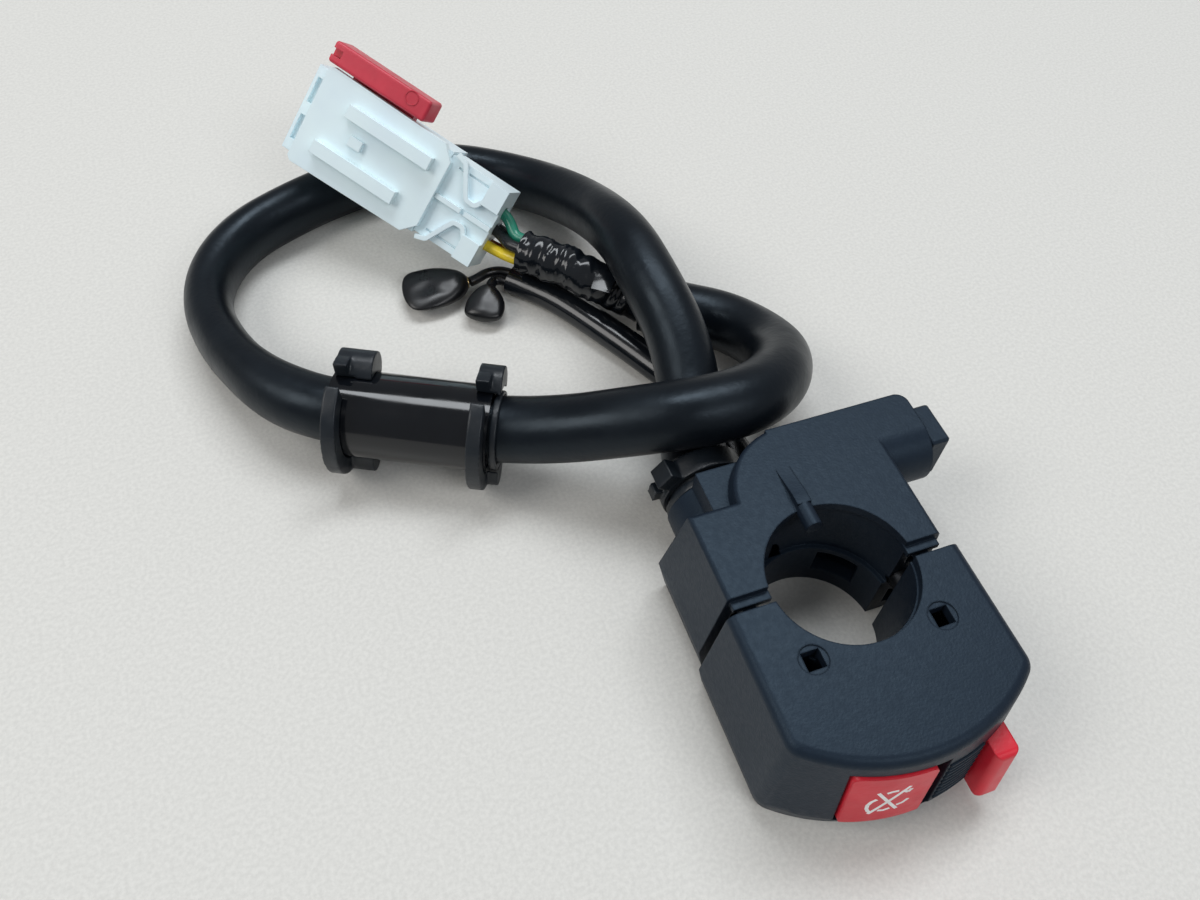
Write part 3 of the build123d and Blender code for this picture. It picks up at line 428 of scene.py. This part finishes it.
def even_line(points, step):
    """The same line with its points about one step apart; step is in millimetres."""
    lengths = distances(points)
    count = max(2, round(lengths[-1] / (step * MM)))
    line, at = [], 0
    for i in range(count + 1):
        want = lengths[-1] * i / count
        while at < len(lengths) - 2 and lengths[at + 1] < want:
            at += 1
        span = lengths[at + 1] - lengths[at]
        line.append(points[at].lerp(points[at + 1], (want - lengths[at]) / span))
    return line


def directions_along(line):
    """Level and upright directions at each point, turning as little as they can."""
    directions, up = [], Vector((0, 0, 1))
    for i in range(len(line)):
        along = (line[min(i + 1, len(line) - 1)] - line[max(i - 1, 0)]).normalized()
        level = up.cross(along).normalized()
        up = along.cross(level).normalized()
        directions.append((level, up))
    return directions


def flattened(wide, tall, angle):
    """The radius of a flattened round at an angle, from its two half widths."""
    return wide * tall / sqrt((tall * cos(angle)) ** 2 + (wide * sin(angle)) ** 2)


def tube_piece(name, line, section, finish, sides):
    """A closed tube along a line; section gives its radius at (distance, angle), in metres."""
    form = bmesh.new()
    rings = []
    for here, (level, up), travelled in zip(line, directions_along(line), distances(line)):
        ring = []
        for i in range(sides):
            angle = 2 * pi * i / sides
            radius = section(travelled, angle)
            ring.append(form.verts.new(here + (level * cos(angle) + up * sin(angle)) * radius))
        rings.append(ring)
    join_rows(form, rings)
    cap_ends(form, rings)
    mesh = mesh_of(form, name)
    smooth_faces(mesh, TUBE_SHARP)
    return add_mesh(name, mesh, finish)


# Routes in millimetres, close to those of the part's own cords
harness_route = [
    (-8.4, 20.5, 9.4),
    (-8.4, 32.6, 9.4),
    (-3.6, 43.6, 10.6),
    (-2.0, 55.0, 15.4),
    (-3.2, 66.4, 18.4),
    (-3.6, 79.4, 18.4),
    (-4.8, 97.0, 11.0),
    (-11.4, 111.4, 6.3),
    (-26.6, 122.4, 5.8),
    (-42.6, 124.6, 5.7),
    (-58.6, 120.4, 5.7),
    (-74.2, 112.8, 5.7),
    (-81.9, 98.4, 6.0),
    (-78.3, 79.4, 8.4),
    (-68.5, 63.5, 10.8),
    (-52.1, 55.4, 10.8),
    (-32.8, 45.8, 10.8),
    (-13.6, 35.1, 20.9),
    (-1.5, 33.3, 21.6),
    (8.2, 37.4, 18.4),
    (14.9, 45.9, 12.8),
    (15.8, 54.8, 8.2),
    (11.9, 63.4, 6.0),
    (3.9, 68.9, 5.7),
    (-0.8, 72.6, 5.7),
]
tape_route = [
    (-0.9, 72.66, 5.7),
    (-4.8, 75.0, 6.5),
    (-9.4, 77.9, 9.6),
    (-14.4, 82.2, 10.6),
    (-20.4, 88.6, 10.4),
]
lead_route = [
    (2.6, 25.0, 3.6),
    (2.6, 33.4, 3.6),
    (1.4, 43.0, 2.9),
    (0.2, 52.0, 2.8),
    (-3.2, 58.4, 2.8),
    (-6.4, 64.8, 2.8),
    (-10.9, 73.0, 2.8),
    (-15.6, 81.2, 2.8),
    (-19.6, 85.9, 2.8),
    (-23.0, 89.4, 2.8),
]
tail_routes = [
    [
        (-22.2, 90.3, 2.8),
        (-24.0, 92.1, 2.8),
        (-27.2, 92.5, 2.8),
        (-29.6, 91.4, 2.8),
        (-31.2, 91.0, 2.8),
    ],
    [
        (-23.9, 88.6, 2.8),
        (-25.1, 89.8, 2.8),
        (-26.9, 89.9, 2.8),
        (-27.8, 88.4, 2.8),
    ],
]

# The harness, in millimetres: its sheath gives way where it bends, so it has a half width
# of its own at these points of the route
HARNESS_HALF_HEIGHT = 5.7
HARNESS_STEP = 0.9
HARNESS_SIDES = 56
sheath_half_widths = [
    (0, 5.7),
    (4, 5.5),
    (6, 5.2),
    (8, 4.9),
    (10, 4.6),
    (12, 4.3),
    (13, 4.5),
    (14, 5.5),
    (15, 5.8),
    (18, 5.85),
    (20, 5.6),
    (22, 5.2),
    (24, 5.4),
]


def sheath_section(line):
    """The sheath's section along the line, eased from one half width to the next."""
    travelled = distances(line)
    marks = []
    for index, wide in sheath_half_widths:
        place = mm(*harness_route[index])
        nearest = min(range(len(line)), key=lambda i: (line[i] - place).length)
        marks.append((travelled[nearest], wide))

    def section(s, angle):
        wide = marks[-1][1]
        for (s0, w0), (s1, w1) in zip(marks, marks[1:]):
            if s <= s1:
                share = max(0.0, (s - s0) / (s1 - s0))
                wide = w0 + (w1 - w0) * share * share * (3 - 2 * share)
                break
        return MM * flattened(wide, HARNESS_HALF_HEIGHT, angle)

    return section


harness_line = even_line(route_line(harness_route), HARNESS_STEP)
harness = tube_piece(
    "harness",
    harness_line,
    sheath_section(harness_line),
    cord_sheath_blue_sheen,
    HARNESS_SIDES,
)
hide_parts("harness_cord")

# The brake lead: a soft tube, flattened by its own weight, with one long crease. Its sizes
# are in millimetres, and the crease and the waver are shares of its radius.
LEAD_HALF_WIDTH, LEAD_HALF_HEIGHT = 3.15, 2.65
LEAD_STEP = 0.5
LEAD_SIDES = 48
CREASE_DEPTH, CREASE_SHARPNESS = 0.05, 30
CREASE_AT, CREASE_TWIST = 2.1, 5  # radians, and radians per metre
LEAD_WAVER, LEAD_WAVES = 0.006, 90  # the waves are per metre


def lead_section(s, angle):
    flat = flattened(LEAD_HALF_WIDTH, LEAD_HALF_HEIGHT, angle)
    into = max(0.0, cos(angle - CREASE_AT - CREASE_TWIST * s))
    crease = CREASE_DEPTH * into**CREASE_SHARPNESS
    waver = LEAD_WAVER * noise.noise(Vector((s * LEAD_WAVES, angle, 0)))
    return MM * flat * (1 - crease + waver)


lead_line = even_line(route_line(lead_route), LEAD_STEP)
lead = tube_piece("lead", lead_line, lead_section, lead_black, LEAD_SIDES)
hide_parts("brake_lead")

# The tape: wound in overlapping turns and drawn into folds across and along it. Its sizes
# are in millimetres, and its overlap, folds and pleats are shares of its radius.
TAPE_R = 3.9
TAPE_PITCH = 5.2
TAPE_STEP = 0.22
TAPE_SIDES = 90
TAPE_BASE, TAPE_OVERLAP = 0.98, 0.03
FOLD_DEPTH, FOLDS_ALONG, FOLDS_ROUND = 0.14, 560, 0.55  # so many along a metre
PLEAT_DEPTH, PLEAT_SCALE, PLEAT_SHIFT = 0.05, 1.4, 7


def tape_section(s, angle):
    overlap = (s / (TAPE_PITCH * MM) + angle / (2 * pi)) % 1.0
    place = Vector((s * FOLDS_ALONG, cos(angle) * FOLDS_ROUND, sin(angle) * FOLDS_ROUND))
    fold = noise.noise(place)
    pleat = 1 - 2 * abs(noise.noise(place * PLEAT_SCALE + Vector((PLEAT_SHIFT, 0, 0))))
    rise = TAPE_BASE + TAPE_OVERLAP * overlap + FOLD_DEPTH * fold + PLEAT_DEPTH * pleat
    return TAPE_R * MM * rise


tape_line = even_line(route_line(tape_route), TAPE_STEP)
tape = tube_piece("tape", tape_line, tape_section, tape_black, TAPE_SIDES)
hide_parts("tape_wrap")

# The tape's loose end, in millimetres: it stands off the last turn as a thin curled strip
END_ROOT, END_TIP = (-7.8, 75.8, 13.1), (-10.5, 72.4, 12.2)
END_WIDTH, END_TAPER = 4.2, 0.15
END_THICKNESS = 0.18
END_ARCH, END_CURL = 0.1, 0.4
RIPPLE_HEIGHT, RIPPLES_ALONG, RIPPLES_ACROSS, RIPPLES_FROM = 0.05, 3, 2, 4
END_ROWS, END_COLUMNS = 12, 8


def loose_end(name, finish):
    start, along = mm(*END_ROOT), mm(*END_TIP) - mm(*END_ROOT)
    across = along.cross(Vector((0, 0, 1))).normalized()
    out = across.cross(along).normalized()
    form = bmesh.new()
    rows = []
    for i in range(END_ROWS + 1):
        u = i / END_ROWS
        row = []
        for j in range(END_COLUMNS + 1):
            v = j / END_COLUMNS - 0.5
            place = Vector((u * RIPPLES_ALONG, v * RIPPLES_ACROSS, RIPPLES_FROM))
            ripple = RIPPLE_HEIGHT * noise.noise(place)
            lift = END_ARCH * sin(pi * u) - END_CURL * v * v + ripple
            reach = across * (v * END_WIDTH * (1 - END_TAPER * u)) + out * lift
            row.append(form.verts.new(start + along * u + reach * MM))
        rows.append(row)
    join_rows(form, rows, around=False)
    piece = add_mesh(name, mesh_of(form, name), finish)
    thick = piece.modifiers.new("thick", "SOLIDIFY")
    thick.thickness = END_THICKNESS * MM
    thick.offset = 0.0
    applied(piece)
    smooth_faces(piece.data, TUBE_SHARP)
    return piece


tape_end = loose_end("tape_end", tape_black)

# The two tails at the lead's end, with their radius in millimetres
TAIL_R = 1.0
for i, route in enumerate(tail_routes):
    tail = route_curve(f"lead_tail_{i + 1}", route, TAIL_R)
    tail.data.materials.append(wire_black.material)
    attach(tail, "housing")
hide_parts("lead_tails")

# Moulded and metal pieces that keep their own shape
for node, finish in (
    ("rear_housing", housing_black),
    ("switch_housing", housing_black),
    ("cable_guide", housing_black),
    ("clamp_screw", dark_steel),
    ("clamp_nut", steel),
    ("rocker_pin", steel),
    ("detent_plunger", steel),
    ("detent_spring", steel),
    ("moving_contact", brass),
    ("fixed_contacts", brass),
    ("contact_base", base_brown),
    ("base_screws", steel),
    ("terminals", brass),
    ("lead_spades", brass),
    ("terminal_carrier", plug_pale),
    ("switch_wires", wire_black),
    ("kill_rocker", rocker_red),
    ("connector_housing", plug_pale),
    ("connector_retainer", plug_pale),
    ("connector_lock", lock_red),
    ("cord_sleeve", sleeve_black),
    ("wire_yellow", wire_yellow),
    ("wire_green", wire_green),
    ("wire_black", wire_black),
    ("wire_brown", wire_brown),
):
    crisp(node, finish)

# Soft pieces on the harness: the cell's size in millimetres and the rounds of smoothing
for node, voxel, rounds in (
    ("cord_grommet", 0.25, 2),
    ("cord_tie", 0.2, 2),
    ("clip_left", 0.2, 3),
    ("clip_right", 0.2, 3),
    ("cord_ring", 0.25, 2),
):
    soft(node, clip_black, voxel, rounds)

# The boots: like pressed leaves, round at the wire, broad, then thin at their tips. The
# height and the merge distance are in millimetres.
BOOT_ROWS, BOOT_SIDES = 36, 48
BOOT_HALF_HEIGHT = 2.4
BOOT_ROOT_WIDTH = 0.4  # at the wire, as a share of the full width
BOOT_BROADEST = 0.6  # share of the length
BOOT_THINS_FROM = 0.15  # share of the length
BOOT_BLUNTNESS = 6
BOOT_MERGE = 0.004
DENTS_ALONG, DENTS_ACROSS, DENTS_FROM = 2.2, 0.3, 5.0  # scales and place of their noise


def leaf(name, root, heading, length, width, thin, fold, finish):
    """A boot from its root, towards a heading in degrees; sizes are in millimetres.

    thin is how much of its height it loses along its length, and fold how deep it dents.
    """
    along = Vector((cos(radians(heading)), sin(radians(heading)), 0))
    across = Vector((-along.y, along.x, 0))
    start = mm(*root)
    form = bmesh.new()
    rings = []
    for i in range(BOOT_ROWS + 1):
        share = (1 - cos(pi * i / BOOT_ROWS)) / 2
        end = sqrt(max(0.0, 1 - (2 * share - 1) ** BOOT_BLUNTNESS))
        swell = sin(min(1.0, share / BOOT_BROADEST) * pi / 2)
        broad = width / 2 * end * (BOOT_ROOT_WIDTH + (1 - BOOT_ROOT_WIDTH) * swell)
        high = BOOT_HALF_HEIGHT * end * (1 - thin * max(0.0, share - BOOT_THINS_FROM))
        ring = []
        for j in range(BOOT_SIDES):
            angle = 2 * pi * j / BOOT_SIDES
            u, v = cos(angle) * broad, sin(angle) * high
            place = Vector((share * DENTS_ALONG, u * DENTS_ACROSS, DENTS_FROM + heading))
            v *= 1 - fold * max(0.0, noise.noise(place)) * end
            at = start + along * (share * length * MM) + across * (u * MM)
            ring.append(form.verts.new(at + Vector((0, 0, v * MM))))
        rings.append(ring)
    join_rows(form, rings)
    bmesh.ops.remove_doubles(form, verts=form.verts, dist=BOOT_MERGE * MM)
    mesh = mesh_of(form, name)
    smooth_faces(mesh, ROUND_SHARP)
    piece = add_mesh(f"{name}_skin", mesh, finish)
    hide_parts(name)


leaf("boot_long", (-31.4, 91.0, 2.8), 176, 13.4, 10.8, 0.75, 0.4, boot_rubber)
leaf("boot_short", (-27.9, 88.1, 2.8), 243, 8.6, 7.8, 0.45, 0.3, boot_rubber)

# The plug lock's mark: a fine raised ring on its flat face, half sunk in it
MARK_AT = (-34.61, 112.14, 31.95)
MARK_OUT = (-0.4426, -0.644, 0.624)
MARK_R, MARK_WIRE_R = 1.3, 0.13
MARK_STEPS, MARK_SIDES = 40, 8


def raised_ring(name, finish, body):
    out = Vector(MARK_OUT).normalized()
    side = out.orthogonal().normalized()
    rise = out.cross(side)
    form = bmesh.new()
    rings = []
    for i in range(MARK_STEPS):
        a = 2 * pi * i / MARK_STEPS
        spoke = side * cos(a) + rise * sin(a)
        ring = []
        for j in range(MARK_SIDES):
            b = 2 * pi * j / MARK_SIDES
            reach = spoke * (MARK_R + MARK_WIRE_R * cos(b)) + out * (MARK_WIRE_R * sin(b))
            ring.append(form.verts.new(mm(*MARK_AT) + reach * MM))
        rings.append(ring)
    join_rows(form, [*rings, rings[0]])
    mesh = mesh_of(form, name)
    smooth_faces(mesh, ROUND_SHARP)
    add_mesh(name, mesh, finish, body)


raised_ring("lock_mark", lock_red, "lock")

# Engine stop sign on the rocker's plate: a broken loop arrow, crossed out. The face is
# round and flares downwards; all of this is in millimetres.
FACE_R = 28.4
FACE_FLARE = 2.2
FACE_TOP = 23.0
FACE_WAIST = 6.0
PLATE_LEFT, PLATE_RIGHT = -11.4, 0.4
PLATE_TOP, PLATE_BOTTOM = 19.4, 5.4
STROKE_WIDTH = 0.52
STROKE_OUT, STROKE_IN = 0.03, -0.05
STROKE_STEPS = 8


def on_face(x, z, out):
    """A point on the rocker's face, or out of it by so many millimetres."""
    r = FACE_R + FACE_FLARE * (FACE_TOP - z) / (FACE_TOP - FACE_WAIST) + out
    return mm(x, -sqrt(r * r - x * x), z)


def on_plate(*places):
    """A stroke through places that are shares of the plate, from its top left corner."""
    line = []
    for (a, b), (c, d) in zip(places, places[1:]):
        for i in range(STROKE_STEPS):
            line.append((a + (c - a) * i / STROKE_STEPS, b + (d - b) * i / STROKE_STEPS))
    line.append(places[-1])
    width, drop = PLATE_RIGHT - PLATE_LEFT, PLATE_BOTTOM - PLATE_TOP
    return [(PLATE_LEFT + a * width, PLATE_TOP + b * drop) for a, b in line]


def print_strokes(name, strokes, finish, body):
    """Flat strokes of even width that follow the face."""
    form = bmesh.new()
    for stroke in strokes:
        rows = []
        for i, (x, z) in enumerate(stroke):
            a, b = stroke[max(i - 1, 0)], stroke[min(i + 1, len(stroke) - 1)]
            dx, dz = b[0] - a[0], b[1] - a[1]
            size = sqrt(dx * dx + dz * dz)
            nx, nz = -dz / size * STROKE_WIDTH / 2, dx / size * STROKE_WIDTH / 2
            corners = [
                (x + nx, z + nz, STROKE_OUT),
                (x - nx, z - nz, STROKE_OUT),
                (x - nx, z - nz, STROKE_IN),
                (x + nx, z + nz, STROKE_IN),
            ]
            rows.append([form.verts.new(on_face(*corner)) for corner in corners])
        join_rows(form, rows)
        cap_ends(form, rows)
    add_mesh(name, mesh_of(form, name), finish, body)


sign = [
    on_plate((0.33, 0.30), (0.64, 0.73)),
    on_plate((0.31, 0.77), (0.69, 0.23)),
    on_plate(
        (0.34, 0.44),
        (0.285, 0.49),
        (0.26, 0.56),
        (0.265, 0.64),
        (0.29, 0.70),
        (0.34, 0.75),
    ),
    on_plate((0.43, 0.32), (0.49, 0.295), (0.56, 0.29)),
    on_plate((0.62, 0.31), (0.69, 0.36)),
    on_plate((0.69, 0.36), (0.72, 0.30)),
    on_plate((0.62, 0.64), (0.69, 0.61), (0.74, 0.54)),
    on_plate((0.41, 0.71), (0.48, 0.72), (0.55, 0.69)),
]
print_strokes("stop_sign", sign, print_white, "rocker")

# Raised ribs on the wall between the plate and the fin
RIB_CUTS = 16
RIB_SIDES = 10


def rib_tree(finish):
    """Round ribs in a row up the wall, each one bent to the wall's radius."""
    tree = bpy.data.node_groups.new("wall_ribs", "GeometryNodeTree")
    face = tree.interface
    sizes = {}
    for label, kind, value in (
        ("Ribs", "NodeSocketInt", 9),
        ("Left", "NodeSocketFloat", 2.6 * MM),
        ("Right", "NodeSocketFloat", 8.6 * MM),
        ("Lowest", "NodeSocketFloat", 7.4 * MM),
        ("Pitch", "NodeSocketFloat", 1.25 * MM),
        ("Rib Radius", "NodeSocketFloat", 0.3 * MM),
        ("Wall Radius", "NodeSocketFloat", 28.1 * MM),
        ("Wall Top", "NodeSocketFloat", FACE_TOP * MM),
        ("Lean", "NodeSocketFloat", FACE_FLARE / (FACE_TOP - FACE_WAIST)),
    ):
        entry = face.new_socket(label, in_out="INPUT", socket_type=kind)
        entry.default_value = value
        sizes[label] = (entry.identifier, value)
    face.new_socket("Geometry", in_out="OUTPUT", socket_type="NodeSocketGeometry")
    inputs = tree.nodes.new("NodeGroupInput").outputs
    add, link = tree.nodes.new, tree.links.new

    def worked(kind, a, b=None):
        """The result of a sum, a product or a root."""
        node = add("ShaderNodeMath")
        node.operation = kind
        link(a, node.inputs[0])
        if b is not None:
            link(b, node.inputs[1])
        return node.outputs[0]

    def vector(x=None, y=None, z=None):
        node = add("ShaderNodeCombineXYZ")
        for socket, source in zip(node.inputs, (x, y, z)):
            if source is not None:
                link(source, socket)
        return node.outputs[0]

    # Straight bars, one above another
    bar = add("GeometryNodeCurvePrimitiveLine")
    link(vector(inputs["Left"]), bar.inputs["Start"])
    link(vector(inputs["Right"]), bar.inputs["End"])
    cuts = add("GeometryNodeResampleCurve")
    cuts.inputs["Count"].default_value = RIB_CUTS
    link(bar.outputs[0], cuts.inputs["Curve"])
    row = add("GeometryNodeMeshLine")
    link(inputs["Ribs"], row.inputs["Count"])
    link(vector(z=inputs["Lowest"]), row.inputs["Start Location"])
    link(vector(z=inputs["Pitch"]), row.inputs["Offset"])
    copies = add("GeometryNodeInstanceOnPoints")
    link(row.outputs[0], copies.inputs["Points"])
    link(cuts.outputs[0], copies.inputs["Instance"])
    loose = add("GeometryNodeRealizeInstances")
    link(copies.outputs[0], loose.inputs[0])

    # Each point moves out to the wall, which flares downwards
    place = add("GeometryNodeInputPosition")
    parts = add("ShaderNodeSeparateXYZ")
    link(place.outputs[0], parts.inputs[0])
    x, z = parts.outputs[0], parts.outputs[2]
    drop = worked("SUBTRACT", inputs["Wall Top"], z)
    lean = worked("MULTIPLY", drop, inputs["Lean"])
    radius = worked("ADD", inputs["Wall Radius"], lean)
    square = worked("MULTIPLY", radius, radius)
    depth = worked("SQRT", worked("SUBTRACT", square, worked("MULTIPLY", x, x)))
    forward = add("ShaderNodeMath")
    forward.operation = "MULTIPLY"
    forward.inputs[1].default_value = -1.0
    link(depth, forward.inputs[0])
    bend = add("GeometryNodeSetPosition")
    link(loose.outputs[0], bend.inputs["Geometry"])
    link(vector(x, forward.outputs[0], z), bend.inputs["Position"])

    # The bent bars get their thickness and their material
    round_bar = add("GeometryNodeCurvePrimitiveCircle")
    round_bar.inputs["Resolution"].default_value = RIB_SIDES
    link(inputs["Rib Radius"], round_bar.inputs["Radius"])
    sweep = add("GeometryNodeCurveToMesh")
    link(bend.outputs[0], sweep.inputs["Curve"])
    link(round_bar.outputs[0], sweep.inputs["Profile Curve"])
    sweep.inputs["Fill Caps"].default_value = True
    whole = add("GeometryNodeRealizeInstances")
    link(sweep.outputs[0], whole.inputs[0])
    dress = add("GeometryNodeSetMaterial")
    dress.inputs["Material"].default_value = finish.material
    link(whole.outputs[0], dress.inputs["Geometry"])
    link(dress.outputs[0], add("NodeGroupOutput").inputs[0])
    return tree, sizes


ribs = bpy.data.objects.new("wall_ribs", bpy.data.meshes.new("wall_ribs"))
scene.collection.objects.link(ribs)
row_maker = ribs.modifiers.new("row", "NODES")
row_maker.node_group, rib_sizes = rib_tree(housing_black)
for identifier, value in rib_sizes.values():
    row_maker[identifier] = value
applied(ribs)
smooth_faces(ribs.data, TUBE_SHARP)
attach(ribs, "housing")

# Floor
FLOOR_HALF = 1.4  # metres
FLOOR_CORNERS = ((-1, -1), (1, -1), (1, 1), (-1, 1))
floor_mesh = bpy.data.meshes.new("floor")
floor_mesh.from_pydata(
    [(x * FLOOR_HALF, y * FLOOR_HALF, 0) for x, y in FLOOR_CORNERS], [], [(0, 1, 2, 3)]
)
floor = bpy.data.objects.new("floor", floor_mesh)
scene.collection.objects.link(floor)
floor_finish = Finish("floor_pale", (0.7, 0.69, 0.655), 0.8)
floor_finish.mottle(1500, 0.05, 4.0).grain(1800, 0.00005)
floor_mesh.materials.append(floor_finish.material)

# Soft light from all round, and a plain wall where the camera looks past the floor
SKY_COLOUR, SKY_STRENGTH = (0.95, 0.97, 1.0, 1), 0.26
WALL_COLOUR = (0.62, 0.62, 0.6, 1)
world = bpy.data.worlds.new("studio")
scene.world = world
world.use_nodes = True
studio = world.node_tree
sky = fill(studio.nodes["Background"], Color=SKY_COLOUR, Strength=SKY_STRENGTH)
wall = fill(studio.nodes.new("ShaderNodeBackground"), Color=WALL_COLOUR)
seen = studio.nodes.new("ShaderNodeLightPath")
choice = studio.nodes.new("ShaderNodeMixShader")
studio.links.new(seen.outputs["Is Camera Ray"], choice.inputs["Fac"])
studio.links.new(sky.outputs["Background"], choice.inputs[1])
studio.links.new(wall.outputs["Background"], choice.inputs[2])
studio.links.new(choice.outputs["Shader"], studio.nodes["World Output"].inputs["Surface"])

# Lamps, in metres and watts; they face the middle of the object
LAMP_AIM = mm(-20, 45, 10)


def softbox(name, at, wide, deep, power, colour):
    """A lamp of the given size, with its width as near to the X axis as it can be."""
    lamp = bpy.data.lights.new(name, "AREA")
    lamp.shape = "RECTANGLE"
    lamp.size, lamp.size_y = wide, deep
    lamp.energy = power
    lamp.color = colour
    holder = bpy.data.objects.new(name, lamp)
    out = (Vector(at) - LAMP_AIM).normalized()
    across = (Vector((1, 0, 0)) - out * out.x).normalized()
    turned = Matrix((across, out.cross(across), out)).transposed().to_4x4()
    holder.matrix_world = Matrix.Translation(Vector(at)) @ turned
    scene.collection.objects.link(holder)


softbox("window", (0.2, 0.445, 1.17), 0.95, 0.36, 9.0, (0.92, 0.96, 1.0))
softbox("front", (0.3, -0.72, 0.84), 0.6, 0.24, 2.4, (0.95, 0.97, 1.0))
softbox("fill", (-0.9, 0.1, 0.9), 0.6, 0.6, 5.0, (1.0, 0.98, 0.95))
